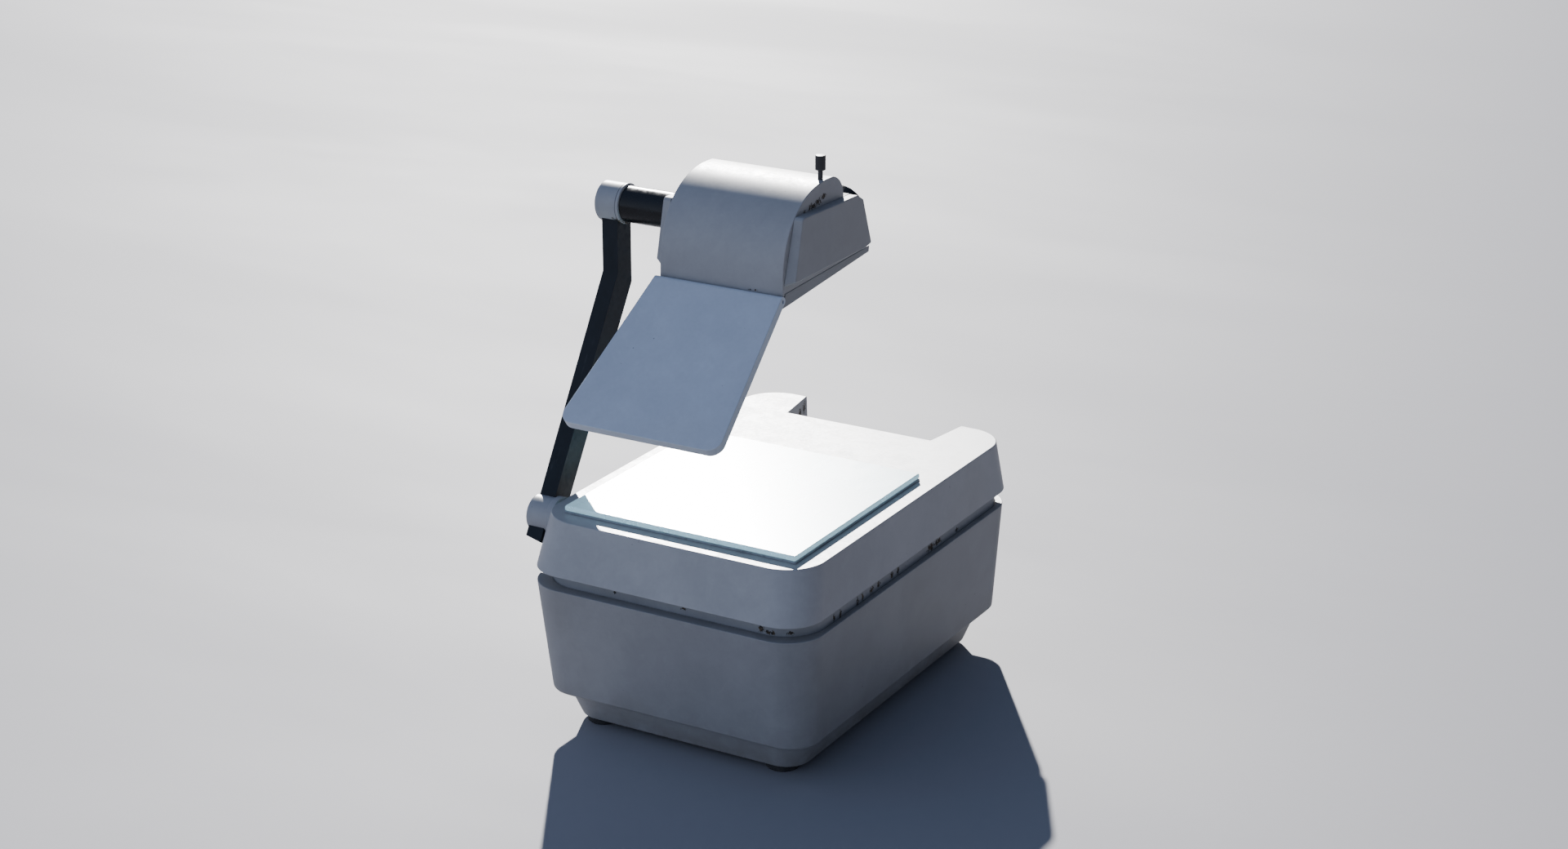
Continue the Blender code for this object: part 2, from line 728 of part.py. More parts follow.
# the stub end below the lower hub is cut on a slant towards the casing
bar_mesh = loft(
    "arm_bar",
    [
        [(ARM_X0, y, z) for y, z in BAR],
        [(ARM_X1, y, z) for y, z in [(-192.5, 188.6)] + BAR[1:-1] + [(-169.5, 174.6)]],
    ],
)
bar = add("arm_bar", bar_mesh, "arm", "arm")
cut(bar, rod("bar_hole", SPINDLE_R + 0.2, -190, -150, "x", (0, PY, PZ), 24), "arm")
cut(bar, rod("bar_hole_top", SPINDLE_R + 0.2, -190, -150, "x", (0, *UPPER_PIVOT), 24), "arm")
bevel(bar, 0.7, 1, 25)

HUB = 48
lower_hub = turned(
    "lower_hub",
    [
        (0, -HUB_LEFT), (LOWER_HUB_R - 1.4, -HUB_LEFT), (LOWER_HUB_R, -HUB_LEFT - 1.4),
        (LOWER_HUB_R, 159.5), (SPINDLE_R + 0.1, 159.5), (SPINDLE_R + 0.1, 179.5), (0, 179.5),
    ],
    "casing",
    "arm",
    "x",
    (0, PY, PZ),
    HUB,
)
lower_hub.matrix_local = Matrix.Translation((Vector((0, PY, PZ)) - PIVOTS["arm"][1]) * MM) @ Matrix.Rotation(
    math.radians(-90), 4, "Y"
)
long_bar = [(-197.7, 180.1)] + BAR[1:-1] + [(-174.7, 166.1)]
cut(lower_hub, prism_x("hub_slot", grow(long_bar, GAP), ARM_X0 - GAP, ARM_X1 + GAP), "arm")

upper_hub = turned(
    "upper_hub",
    [
        (0, -UPPER_HUB_LEFT), (UPPER_HUB_R - 1.6, -UPPER_HUB_LEFT), (UPPER_HUB_R - 0.2, -UPPER_HUB_LEFT - 1.6),
        (UPPER_HUB_R - 0.2, 161.9), (UPPER_HUB_R - 0.8, 161.7), (UPPER_HUB_R - 0.8, 161.2), (UPPER_HUB_R, 161.0),
        (UPPER_HUB_R, 159.2), (UPPER_HUB_R - 0.9, 158.2), (SPINDLE_R + 0.1, 158.2), (SPINDLE_R + 0.1, 181.0), (0, 181.0),
    ],
    "casing",
    "arm",
    "x",
    (0, *UPPER_PIVOT),
    HUB,
)
upper_hub.matrix_local = Matrix.Translation((Vector((0, *UPPER_PIVOT)) - PIVOTS["arm"][1]) * MM) @ Matrix.Rotation(
    math.radians(-90), 4, "Y"
)
cut(upper_hub, prism_x("hub_slot_top", grow(BAR, GAP), ARM_X0 - GAP, ARM_X1 + GAP), "arm")

# the spindle is fixed in the upper hub and the head turns on it
turned(
    "tilt_spindle",
    [(0, -62.0), (SPINDLE_R, -62.0), (SPINDLE_R, -180.6), (0, -180.6)],
    "steel",
    "arm",
    "x",
    (0, *UPPER_PIVOT),
    24,
)

# ------------------------------------------------------------------------ head
UY, UZ = UPPER_PIVOT
turned(
    "head_tube",
    [(TUBE_R, -64.5), (TUBE_R, -157.9), (SPINDLE_R + 0.3, -157.9), (SPINDLE_R + 0.3, -64.5)],
    "tube",
    "head",
    "x",
    (0, UY, UZ),
    40,
)


def plate_top(y):
    return 460.0 + (y + 103.6) * (465.4 - 460.0) / (63.8 + 103.6)


def plate_bottom(y):
    return 445.9 + (y + 108.8) * (459.1 - 445.9) / (62.7 + 108.8)


def head_profile(inset=0.0, steps=16):
    """Side view of the head: rounded front and crest, low rear deck, slanted rear."""
    (cy, cz), a, b = BARREL_C, BARREL_A - inset, BARREL_B - inset
    points = []
    for k in range(steps + 1):
        t = math.radians(90.0 * k / steps)
        y = cy - a * math.cos(t) ** (2 / BARREL_N)
        z = cz + b * math.sin(t) ** (2 / BARREL_N)
        points.append((y, z))
    (by, bz), ba, bb = BACK_C, BACK_A - inset, BACK_B - inset
    for k in range(0, 8):
        t = math.radians(8 + 82.0 * k / 7)
        points.append((by + ba * math.sin(t), bz + bb * math.cos(t)))
    points.append((by + ba - 0.1, DECK_Z - inset))
    points.append((DECK_REAR - 0.4 * inset, DECK_Z - inset))
    points.append((REAR_TOP[0] - 0.9 * inset, REAR_TOP[1] - 0.9 * inset))
    points.append((REAR_BOTTOM[0] - inset, REAR_BOTTOM[1]))
    return points


outer = head_profile()
outer = [(-109.1, 457.9)] + outer
# bottom edge rises just above the base plate
outer[-1] = (REAR_BOTTOM[0], plate_top(REAR_BOTTOM[0]) + 0.4)
outer.append((-106.0, plate_top(-103.6) + 0.4))
outer[0] = (-109.2, 457.9)
outer.append((-106.4, 457.9))
head = add("head_shell", prism_x("head_shell", outer, -HEAD_HW, HEAD_HW), "casing", "head", smooth=30)
inner = head_profile(HEAD_WALL)
inner = [(BARREL_C[0] - BARREL_A + HEAD_WALL, 440.0)] + inner[:-1]
inner.append((REAR_BOTTOM[0] - HEAD_WALL, 472.0))
inner.append((REAR_BOTTOM[0] - HEAD_WALL, 440.0))
cut(head, prism_x("head_void", inner, -HEAD_HW + HEAD_WALL, HEAD_HW - HEAD_WALL), "head")
# tube hole on the left, stem hole in the crest, light port through the slanted rear
cut(head, rod("tube_hole", TUBE_R + 0.3, -75.0, -60.0, "x", (0, UY, UZ), 40), "head")
cut(head, rod("stem_hole", 2.9, 520.0, 570.0, "z", (KNOB[0], KNOB[1], 0), 16), "head")

REAR_N = Vector((0.0, REAR_BOTTOM[1] - REAR_TOP[1], -(REAR_BOTTOM[0] - REAR_TOP[0]))).normalized() * -1
REAR_V = Vector((0.0, REAR_TOP[0] - REAR_BOTTOM[0], REAR_TOP[1] - REAR_BOTTOM[1])).normalized()
REAR_O = Vector((0.0, 42.9, 496.5))
REAR_FRAME = Matrix(
    (
        (-1.0, 0.0, 0.0, REAR_O.x),
        (0.0, REAR_V.y, REAR_N.y, REAR_O.y),
        (0.0, REAR_V.z, REAR_N.z, REAR_O.z),
        (0.0, 0.0, 0.0, 1.0),
    )
)
# REAR_FRAME takes local x to -X, local y up the slanted face, local z out of it
port = rod("port", 27.0, -14.0, 14.0, "z", (0, 0, 0), 40)
port.transform(REAR_FRAME)
cut(head, port, "head")

hood_plan = outline(70.9, -29.0, 32.6, 24.0, 6)
hood_mesh = loft(
    "rear_hood",
    [
        [(x, y, 0.35) for x, y in hood_plan],
        [(x, y, 9.6) for x, y in hood_plan],
        [(x, y, 11.2) for x, y in outline(69.3, -27.4, 31.0, 22.4, 6)],
    ],
)
hood_mesh.transform(REAR_FRAME)
hood = add("rear_hood", hood_mesh, "tube", "head", smooth=35)
hood_bore = rod("hood_bore", 27.2, -5.0, 20.0, "z", (0, 0, 0), 40)
hood_bore.transform(REAR_FRAME)
cut(hood, hood_bore, "head")


def on_rear(obj):
    """Place a turned piece in the slanted rear face's frame."""
    pivot, at = PIVOTS["head"]
    frame = REAR_FRAME.copy()
    frame.translation = (REAR_FRAME.translation - at) * MM
    obj.matrix_local = frame


on_rear(
    turned(
        "lens_cell",
        [(24.6, 12.6), (26.0, 12.6), (26.8, 11.8), (26.8, -10.0), (22.5, -10.0), (22.5, -3.2), (24.6, -3.2)],
        "black", "head", "z", (0, 0, 0), 40,
    )
)
on_rear(
    turned(
        "projection_lens",
        [(0, 9.0), (8.0, 8.5), (16.0, 6.9), (24.2, 3.2), (24.2, -2.6), (0, -2.6)],
        "glass", "head", "z", (0, 0, 0), 40,
    )
)

# side covers: flat plates with the same outline as the sloping head
COVER = [(-86.9, 531.2), (21.7, 528.2), (33.3, 521.6), (51.0, 472.9), (39.0, 470.6), (-101.8, 470.8)]
# the cover is wider at its foot, where it meets the side wall
COVER_FOOT = [(-87.4, 531.4), (21.7, 528.2), (33.3, 521.6), (51.0, 472.4), (40.0, 469.4), (-107.8, 467.4)]


def cover_mesh(name, sx):
    base = grow(COVER, 0.0)
    rim = grow(COVER, -1.6)
    stations = [
        [(sx * (HEAD_HW + GAP), y, z) for y, z in COVER_FOOT],
        [(sx * (COVER_X - 1.6), y, z) for y, z in base],
        [(sx * COVER_X, y, z) for y, z in rim],
    ]
    return loft(name, stations)


left = add("left_cover", cover_mesh("left_cover", -1), "casing", "head")
cut(left, rod("cover_hole", TUBE_R + 0.3, -90.0, -60.0, "x", (0, UY, UZ), 40), "head")
add("right_cover", cover_mesh("right_cover", 1), "casing", "head")

# base plate of the head: wedge with a round lens opening and two hinge lugs
base_profile = [
    (-108.8, plate_bottom(-108.8)),
    (62.7, plate_bottom(62.7)),
    (63.8, plate_top(63.8)),
    (-105.2, plate_top(-105.2)),
    (-105.6, 457.4),
    (-108.8, 457.4),
]
base_plate = add("head_base_plate", prism_x("head_base_plate", base_profile, -HEAD_HW, HEAD_HW), "casing", "head")
for sx in (-1, 1):
    a, b = sorted((sx * 61.5, sx * 66.5))
    round_end = [
        (FLAP_AXIS[0] - 3.0 * math.sin(math.radians(18.0 * k)), FLAP_AXIS[1] + 3.0 * math.cos(math.radians(18.0 * k)))
        for k in range(11)
    ]
    lug = prism_x("lug", [(-107.0, 452.0)] + round_end[::-1] + [(-107.0, 457.0)], a, b)
    cut(base_plate, lug, "head", "UNION")
cut(base_plate, rod("lens_opening", 33.0, 430.0, 480.0, "z", (0, LENS_Y, 0), 40), "head")
cut(base_plate, rod("pin_hole", 1.9, -80.0, 80.0, "x", (0, *FLAP_AXIS), 16), "head")
turned(
    "flap_hinge_pin",
    [(0, 70.6), (1.6, 70.6), (1.6, -70.6), (0, -70.6)],
    "steel", "head", "x", (0, *FLAP_AXIS), 16,
)

mirror_tilt = Matrix.Translation((0, LENS_Y, 505.0)) @ Matrix.Rotation(math.radians(45), 4, "X")
mirror_mesh = box("mirror", (-54.0, -41.0, 0.0), (54.0, 43.0, 3.0))
mirror_mesh.transform(mirror_tilt)
add("mirror", mirror_mesh, "mirror", "head")
mount_mesh = box("mirror_mount", (-65.8, -38.0, 3.4), (65.8, 38.0, 5.0))
mount_mesh.transform(mirror_tilt)
mount = add("mirror_mount", mount_mesh, "steel", "head")
turned("guide_rod", [(0, 505.0), (2.0, 505.0), (2.0, 463.2), (0, 463.2)], "steel", "head", "z", (-60.0, -66.5, 0), 12)
nut2 = add("tilt_nut", rod("tilt_nut", 14.0, -64.1, -57.0, "x", (0, UY, UZ), 6), "steel", "arm")
cut(nut2, rod("tilt_nut_hole", SPINDLE_R + 0.3, -70, -50, "x", (0, UY, UZ), 24), "arm")

# focus: knob and screw turn together and carry the objective up and down
turned(
    "focus_knob",
    [
        (0, 578.0), (4.2, 578.0), (4.9, 577.3), (4.9, 564.2), (4.3, 563.0), (2.5, 563.0), (2.5, 553.5), (0, 553.5),
    ],
    "black", "knob", "z", (KNOB[0], KNOB[1], 0), 24,
)
turned(
    "focus_screw",
    [(0, 553.2), (2.2, 553.2), (2.2, 468.6), (0, 468.6)],
    "steel", "knob", "z", (KNOB[0], KNOB[1], 0), 16,
)
carriage = add("lens_carriage", rod("lens_carriage", 38.0, 467.2, 470.2, "z", (0, LENS_Y, 0), 48), "black", "lens")
cut(carriage, box("guide_arm", (-65.0, LENS_Y - 5, 467.2), (-20.0, LENS_Y + 5, 470.2)), "lens", "UNION")
screw_arm = prism_z("screw_arm", [(20.0, -62.0), (65.8, -35.0), (65.8, -25.0), (56.0, -25.0), (20.0, -46.0)], 467.2, 470.2)
cut(carriage, screw_arm, "lens", "UNION")
cut(carriage, rod("cell_hole", 32.7, 460.0, 480.0, "z", (0, LENS_Y, 0), 48), "lens")
cut(carriage, rod("guide_hole", 2.3, 460.0, 480.0, "z", (-60.0, LENS_Y, 0), 12), "lens")
cut(carriage, box("screw_fork", (60.4, KNOB[1] - 2.6, 460.0), (70.0, KNOB[1] + 2.6, 480.0)), "lens")
turned(
    "objective_cell",
    [(30.2, 470.2), (32.4, 470.2), (32.4, 453.5), (27.5, 453.5), (27.5, 456.5), (30.2, 456.5)],
    "black", "lens", "z", (0, LENS_Y, 0), 40,
)
turned(
    "objective_lens",
    [(0, 467.0), (12.0, 466.2), (22.0, 464.2), (29.9, 461.4), (29.9, 458.6), (20.0, 457.4), (0, 456.9)],
    "glass", "lens", "z", (0, LENS_Y, 0), 32,
)

# ------------------------------------------------------------------------ flap
ALONG = Vector((0.0, -math.cos(math.radians(FLAP_TILT)), -math.sin(math.radians(FLAP_TILT))))
UPPER = Vector((0.0, -math.sin(math.radians(FLAP_TILT)), math.cos(math.radians(FLAP_TILT))))
HINGE = Vector((0.0, *FLAP_AXIS))


def flap_point(x, u, w):
    """x across, u down the flap from the hinge, w above its middle plane."""
    p = HINGE + ALONG * u + UPPER * w
    return (x, p.y, p.z)


def flap_outline(steps=7, radius=13.0):
    """Trapezoid, wider at its free end, with the two free corners rounded."""
    top, end = -0.25, FLAP_LENGTH - 2.5
    slope = math.atan2(FLAP_HW_END - FLAP_HW_TOP, end - top)
    # centre of the corner circle, tangent to the side and to the end
    cu = end - radius
    cx = FLAP_HW_TOP + (cu - top) * math.tan(slope) - radius / math.cos(slope)
    points = [(FLAP_HW_TOP, top)]
    for k in range(steps + 1):
        a = -slope + (math.pi / 2 + slope) * k / steps
        points.append((cx + radius * math.cos(a), cu + radius * math.sin(a)))
    return points + [(-x, u) for x, u in reversed(points)]


flap = add(
    "flap_plate",
    loft(
        "flap_plate",
        [[flap_point(x, u, w) for x, u in flap_outline()] for w in (-FLAP_T / 2, FLAP_T / 2)],
    ),
    "flap",
    "flap",
    smooth=35,
)
bevel(flap, 1.1, 2, 60)
cut(flap, rod("flap_barrel", 4.7, -71.6, 71.6, "x", (0, *FLAP_AXIS), 20), "flap", "UNION")
notches = []
for sx in (-1, 1):
    a, b = sorted((sx * 61.2, sx * 66.8))
    ring = [flap_point(0, u, w)[1:] for u, w in ((-8.0, -8.0), (3.4, -8.0), (3.4, 3.4), (-8.0, 3.4))]
    notches.append(prism_x("notch", ring, a, b))
cut(flap, merged("notches", notches), "flap")
cut(flap, rod("flap_pin_hole", 1.9, -80.0, 80.0, "x", (0, *FLAP_AXIS), 16), "flap")
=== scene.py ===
"""Looks of the overhead projector: fine shells, optics, worn plastic and paint, floor, light and camera.

Lengths below are millimetres in the base's own frame (X = 0 on its centre
plane, Y = 0 at mid depth, Z = 0 on the table). OFFSET takes them to the row
frame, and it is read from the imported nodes.
"""

import math

import bmesh
import bpy
from mathutils import Matrix, Vector


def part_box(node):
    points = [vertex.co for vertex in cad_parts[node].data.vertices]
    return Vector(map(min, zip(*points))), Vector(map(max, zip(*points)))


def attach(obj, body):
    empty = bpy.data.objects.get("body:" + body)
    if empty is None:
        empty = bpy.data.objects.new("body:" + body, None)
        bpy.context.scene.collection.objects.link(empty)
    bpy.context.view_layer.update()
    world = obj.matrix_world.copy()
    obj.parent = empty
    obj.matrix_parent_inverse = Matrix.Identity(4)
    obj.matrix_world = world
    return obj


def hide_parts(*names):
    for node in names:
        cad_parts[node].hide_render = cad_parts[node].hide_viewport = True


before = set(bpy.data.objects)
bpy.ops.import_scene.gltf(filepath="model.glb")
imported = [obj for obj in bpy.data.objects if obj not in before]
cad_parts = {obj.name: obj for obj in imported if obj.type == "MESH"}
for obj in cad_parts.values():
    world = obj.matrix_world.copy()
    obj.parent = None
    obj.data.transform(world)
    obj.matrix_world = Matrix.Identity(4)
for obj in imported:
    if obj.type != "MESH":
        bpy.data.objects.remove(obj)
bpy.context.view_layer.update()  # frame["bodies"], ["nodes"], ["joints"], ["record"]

MM = 0.001

_lo, _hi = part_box("lower_casing")
OFFSET = Vector(((_lo[0] + _hi[0]) / 2, _lo[1] + 0.2303, 0.0))
PARTS = bpy.data.collections.new("fine_parts")
bpy.context.scene.collection.children.link(PARTS)

# ------------------------------------------------------------------ dimensions
TRAY_BOTTOM = (6.3, 130.1, -189.0, 189.8, 25.7)
TRAY_TOP = (38.2, 140.7, -200.5, 203.5, 29.0)
LOWER_BOTTOM = (38.5, 151.3, -213.6, 220.0, 31.5)
LOWER_TOP = (159.2, 160.2, -230.3, 227.7, 40.5)
GROOVE = (152.4, -215.0, 226.4, 42.0)
UPPER_RIM = (173.8, 159.8, -230.2, 230.3, 39.3)
UPPER_TOP = (226.8, 152.4, -215.0, 226.4, 42.0)
GASKET = (131.6, -194.1, 61.1)
GLASS = (131.25, -193.7, 60.8)
STAGE_Y = -66.5
APERTURE = (121.5, -184.0, 51.0)
RECESS_FRONT_Y, RECESS_FRONT_HW, RECESS_REAR_HW = 170.5, 86.5, 94.8
RECESS_FLOOR = 184.0
ARM_X0, ARM_X1 = -180.9, -162.6
LOWER_PIVOT, UPPER_PIVOT = (-168.1, 208.8), (-26.8, 498.6)
LOWER_HUB_R, COLLAR_R, UPPER_HUB_R, TUBE_R = 18.7, 20.9, 20.8, 18.6
HUB_LEFT, COLLAR_FACE, SPINDLE_R = -183.5, -159.2, 8.0
HEAD_HW, COVER_X, HEAD_WALL = 68.8, 78.1, 2.6
BARREL_C, BARREL_A, BARREL_B, BARREL_N = (-22.0, 470.0), 87.4, 84.0, 2.2
BACK_C, BACK_A, BACK_B = (-16.0, 530.0), 25.4, 24.0
DECK_Z, DECK_REAR = 528.6, 21.7
REAR_TOP, REAR_BOTTOM = (33.5, 522.0), (54.2, 465.8)
LENS_Y = STAGE_Y
FLAP_AXIS, FLAP_TILT = (-114.0, 455.0), 35.6
FLAP_LENGTH, FLAP_HW_TOP, FLAP_HW_END, FLAP_T = 183.0, 71.8, 88.7, 10.0
KNOB = (63.0, -27.0)
GAP = 0.3
FINE = 22  # steps a quarter turn on the casing corners

# ------------------------------------------------------------- mesh building


def outline(hw, front, rear, radius, steps=FINE):
    points = []
    for cx, cy, start in (
        (hw - radius, front + radius, -90),
        (hw - radius, rear - radius, 0),
        (radius - hw, rear - radius, 90),
        (radius - hw, front + radius, 180),
    ):
        for k in range(steps + 1):
            a = math.radians(start + 90.0 * k / steps)
            points.append((cx + radius * math.cos(a), cy + radius * math.sin(a)))
    return points


def level(spec, inset=0.0, z=None, steps=FINE):
    height, hw, front, rear, radius = spec
    ring = outline(hw - inset, front + inset, rear - inset, max(radius - inset, 1.5), steps)
    return [(x, y, height if z is None else z) for x, y in ring]


def between(low, high, z):
    t = (z - low[0]) / (high[0] - low[0])
    return tuple(a + (b - a) * t for a, b in zip(low, high))


def fillet_levels(spec_at, z_edge, radius, going, steps=5):
    """Levels round a quarter circle at a horizontal edge: going +1 rounds over the top, -1 under the bottom."""
    rows = []
    for k in range(steps + 1):
        a = math.pi / 2 * k / steps
        drop = radius * (1 - math.sin(a))
        inset = radius * (1 - math.cos(a))
        z = z_edge - going * drop
        rows.append(level(spec_at(z), inset, z))
    return rows if going > 0 else rows[::-1]


def shape(bm):
    bmesh.ops.recalc_face_normals(bm, faces=bm.faces)
    mesh = bpy.data.meshes.new("shape")
    bm.to_mesh(mesh)
    bm.free()
    return mesh


def loft(stations, ring=False):
    bm = bmesh.new()
    rows = [[bm.verts.new(p) for p in station] for station in stations]
    count = len(rows[0])
    pairs = list(zip(rows, rows[1:])) + ([(rows[-1], rows[0])] if ring else [])
    for low, high in pairs:
        for i in range(count):
            j = (i + 1) % count
            bm.faces.new((low[i], low[j], high[j], high[i]))
    if not ring:
        bm.faces.new(list(reversed(rows[0])))
        bm.faces.new(rows[-1])
    return shape(bm)


def grow(profile, by):
    """Offset a closed 2D profile outwards by a distance, corner by corner."""
    area = sum(a[0] * b[1] - b[0] * a[1] for a, b in zip(profile, profile[1:] + profile[:1]))
    sign = 1 if area > 0 else -1
    out = []
    for i, here in enumerate(profile):
        before, after = profile[i - 1], profile[(i + 1) % len(profile)]
        d1 = Vector((here[0] - before[0], here[1] - before[1])).normalized()
        d2 = Vector((after[0] - here[0], after[1] - here[1])).normalized()
        n1, n2 = Vector((d1.y, -d1.x)) * sign, Vector((d2.y, -d2.x)) * sign
        push = (n1 + n2) / max(1 + n1.dot(n2), 0.2)
        out.append((here[0] + push.x * by, here[1] + push.y * by))
    return out


def round_corners(profile, radii, steps=5):
    """Replace the corners of a closed profile by arcs; radii is one number or one for each corner."""
    if not isinstance(radii, (list, tuple)):
        radii = [radii] * len(profile)
    out = []
    for i, here in enumerate(profile):
        p = Vector(here)
        a = Vector(profile[i - 1]) - p
        b = Vector(profile[(i + 1) % len(profile)]) - p
        la, lb = a.length, b.length
        a, b = a.normalized(), b.normalized()
        angle = a.angle(b)
        r = radii[i]
        if r <= 0 or angle > math.radians(176):
            out.append(tuple(p))
            continue
        cut_back = min(r / math.tan(angle / 2), 0.49 * la, 0.49 * lb)
        r = cut_back * math.tan(angle / 2)
        start, end = p + a * cut_back, p + b * cut_back
        centre = p + (a + b).normalized() * (r / math.sin(angle / 2))
        s, e = start - centre, end - centre
        sweep = math.acos(max(-1.0, min(1.0, s.dot(e) / (s.length * e.length))))
        turn = 1 if s.x * e.y - s.y * e.x > 0 else -1
        for k in range(steps + 1):
            t = turn * sweep * k / steps
            out.append(
                (centre.x + s.x * math.cos(t) - s.y * math.sin(t), centre.y + s.x * math.sin(t) + s.y * math.cos(t))
            )
    return out


def slab_x(profile, x0, x1, radius=0.0, steps=4):
    """Side profile (y, z) along X, with its two end edges rounded over."""
    if radius <= 0:
        return loft([[(x0, y, z) for y, z in profile], [(x1, y, z) for y, z in profile]])
    stations = []
    for k in range(steps + 1):
        a = math.pi / 2 * k / steps
        ring = grow(profile, -radius * (1 - math.sin(a)))
        stations.append([(x0 + radius * (1 - math.cos(a)), y, z) for y, z in ring])
    for k in range(steps, -1, -1):
        a = math.pi / 2 * k / steps
        ring = grow(profile, -radius * (1 - math.sin(a)))
        stations.append([(x1 - radius * (1 - math.cos(a)), y, z) for y, z in ring])
    return loft(stations)


def prism_z(profile, z0, z1):
    return loft([[(x, y, z0) for x, y in profile], [(x, y, z1) for x, y in profile]])


def box(low, high):
    bm = bmesh.new()
    bmesh.ops.create_cube(bm, size=1.0)
    size = [b - a for a, b in zip(low, high)]
    middle = [(a + b) / 2 for a, b in zip(low, high)]
    bmesh.ops.transform(bm, matrix=Matrix.Translation(middle) @ Matrix.Diagonal((*size, 1.0)), verts=bm.verts)
    return shape(bm)


TURN = {
    "x": Matrix.Rotation(math.radians(90), 4, "Y"),
    "y": Matrix.Rotation(math.radians(-90), 4, "X"),
    "z": Matrix.Identity(4),
}


def rod(radius, start, end, axis, at, segments=64):
    bm = bmesh.new()
    bmesh.ops.create_cone(bm, cap_ends=True, segments=segments, radius1=radius, radius2=radius, depth=abs(end - start))
    bmesh.ops.transform(bm, matrix=TURN[axis], verts=bm.verts)
    centre = list(at)
    centre["xyz".index(axis)] = (start + end) / 2
    bmesh.ops.transform(bm, matrix=Matrix.Translation(centre), verts=bm.verts)
    return shape(bm)


def spun(profile, axis, at, steps=96, place=None, ribs=None):
    """Turned shape from (radius, height) points. ribs = (count, depth, low, high) modulates the radius between two heights."""
    bm = bmesh.new()
    rings = []
    for r, h in profile:
        if r < 1e-6:
            rings.append([bm.verts.new((0, 0, h))])
            continue
        ring = []
        for k in range(steps):
            a = 2 * math.pi * k / steps
            rr = r
            if ribs and ribs[2] <= h <= ribs[3]:
                rr = r - ribs[1] * (0.5 + 0.5 * math.cos(ribs[0] * a)) ** 2
            ring.append(bm.verts.new((rr * math.cos(a), rr * math.sin(a), h)))
        rings.append(ring)
    closed = len(rings[0]) > 1
    pairs = list(zip(rings, rings[1:])) + ([(rings[-1], rings[0])] if closed else [])
    for a, b in pairs:
        for k in range(steps):
            j = (k + 1) % steps
            if len(a) == 1:
                bm.faces.new((a[0], b[k], b[j]))
            elif len(b) == 1:
                bm.faces.new((a[k], a[j], b[0]))
            else:
                bm.faces.new((a[k], a[j], b[j], b[k]))
    matrix = Matrix.Translation(at) @ TURN[axis] if place is None else place
    bmesh.ops.transform(bm, matrix=matrix, verts=bm.verts)
    return shape(bm)


def joined(meshes):
    bm = bmesh.new()
    for mesh in meshes:
        bm.from_mesh(mesh)
    return shape(bm)


def carve(mesh, tool, operation="DIFFERENCE"):
    """Exact Boolean of two shapes, as a new mesh."""
    a = bpy.data.objects.new("a", mesh)
    b = bpy.data.objects.new("b", tool)
    for obj in (a, b):
        bpy.context.scene.collection.objects.link(obj)
    step = a.modifiers.new("cut", "BOOLEAN")
    step.operation, step.solver, step.object = operation, "EXACT", b
    bpy.context.view_layer.update()
    graph = bpy.context.evaluated_depsgraph_get()
    made = bpy.data.meshes.new_from_object(a.evaluated_get(graph))
    bpy.data.objects.remove(a)
    bpy.data.objects.remove(b)
    return made


def tidy(mesh, degrees=0.6):
    """Weld and dissolve the flat splits that Booleans leave."""
    bm = bmesh.new()
    bm.from_mesh(mesh)
    bmesh.ops.remove_doubles(bm, verts=bm.verts, dist=0.002)
    bmesh.ops.dissolve_limit(bm, angle_limit=math.radians(degrees), verts=bm.verts, edges=bm.edges, delimit={"NORMAL"})
    return shape(bm)


def finish_piece(name, mesh, material, nodes, body, sharp=38.0, bevel=0.0, bevel_angle=40.0, segments=2):
    """The fine piece in the row frame, riding its body and standing for its CAD nodes."""
    mesh.transform(Matrix.Translation(OFFSET) @ Matrix.Scale(MM, 4))
    mesh.name = name
    obj = bpy.data.objects.new(name, mesh)
    PARTS.objects.link(obj)
    mesh.materials.clear()
    mesh.materials.append(material)
    mesh.shade_smooth()
    if bevel > 0:
        edge = obj.modifiers.new("edge", "BEVEL")
        edge.width, edge.segments = bevel * MM, segments
        edge.limit_method, edge.angle_limit = "ANGLE", math.radians(bevel_angle)
        edge.use_clamp_overlap = True
        edge.harden_normals = True
        mesh.set_sharp_from_angle(angle=math.radians(75.0))
    else:
        mesh.set_sharp_from_angle(angle=math.radians(sharp))
        even = obj.modifiers.new("normals", "WEIGHTED_NORMAL")
        even.keep_sharp = True
        even.weight = 80
    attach(obj, body)
    if nodes:
        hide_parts(*([nodes] if isinstance(nodes, str) else nodes))
    return obj


def remake(node, material, body, bevel=0.35, segments=2, extra=None):
    """A finer copy of a CAD node: welded, flats merged, its edges rounded."""
    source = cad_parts[node]
    bm = bmesh.new()
    bm.from_mesh(source.data)
    bmesh.ops.remove_doubles(bm, verts=bm.verts, dist=2e-5)
    bmesh.ops.dissolve_limit(bm, angle_limit=math.radians(1.0), verts=bm.verts, edges=bm.edges)
    bmesh.ops.transform(bm, matrix=Matrix.Scale(1000.0, 4) @ Matrix.Translation(-OFFSET), verts=bm.verts)
    mesh = shape(bm)
    if extra:
        mesh = extra(mesh)
    return finish_piece(node + "_fine", mesh, material, node, body, bevel=bevel, bevel_angle=50, segments=segments)


# ------------------------------------------------------------------ materials


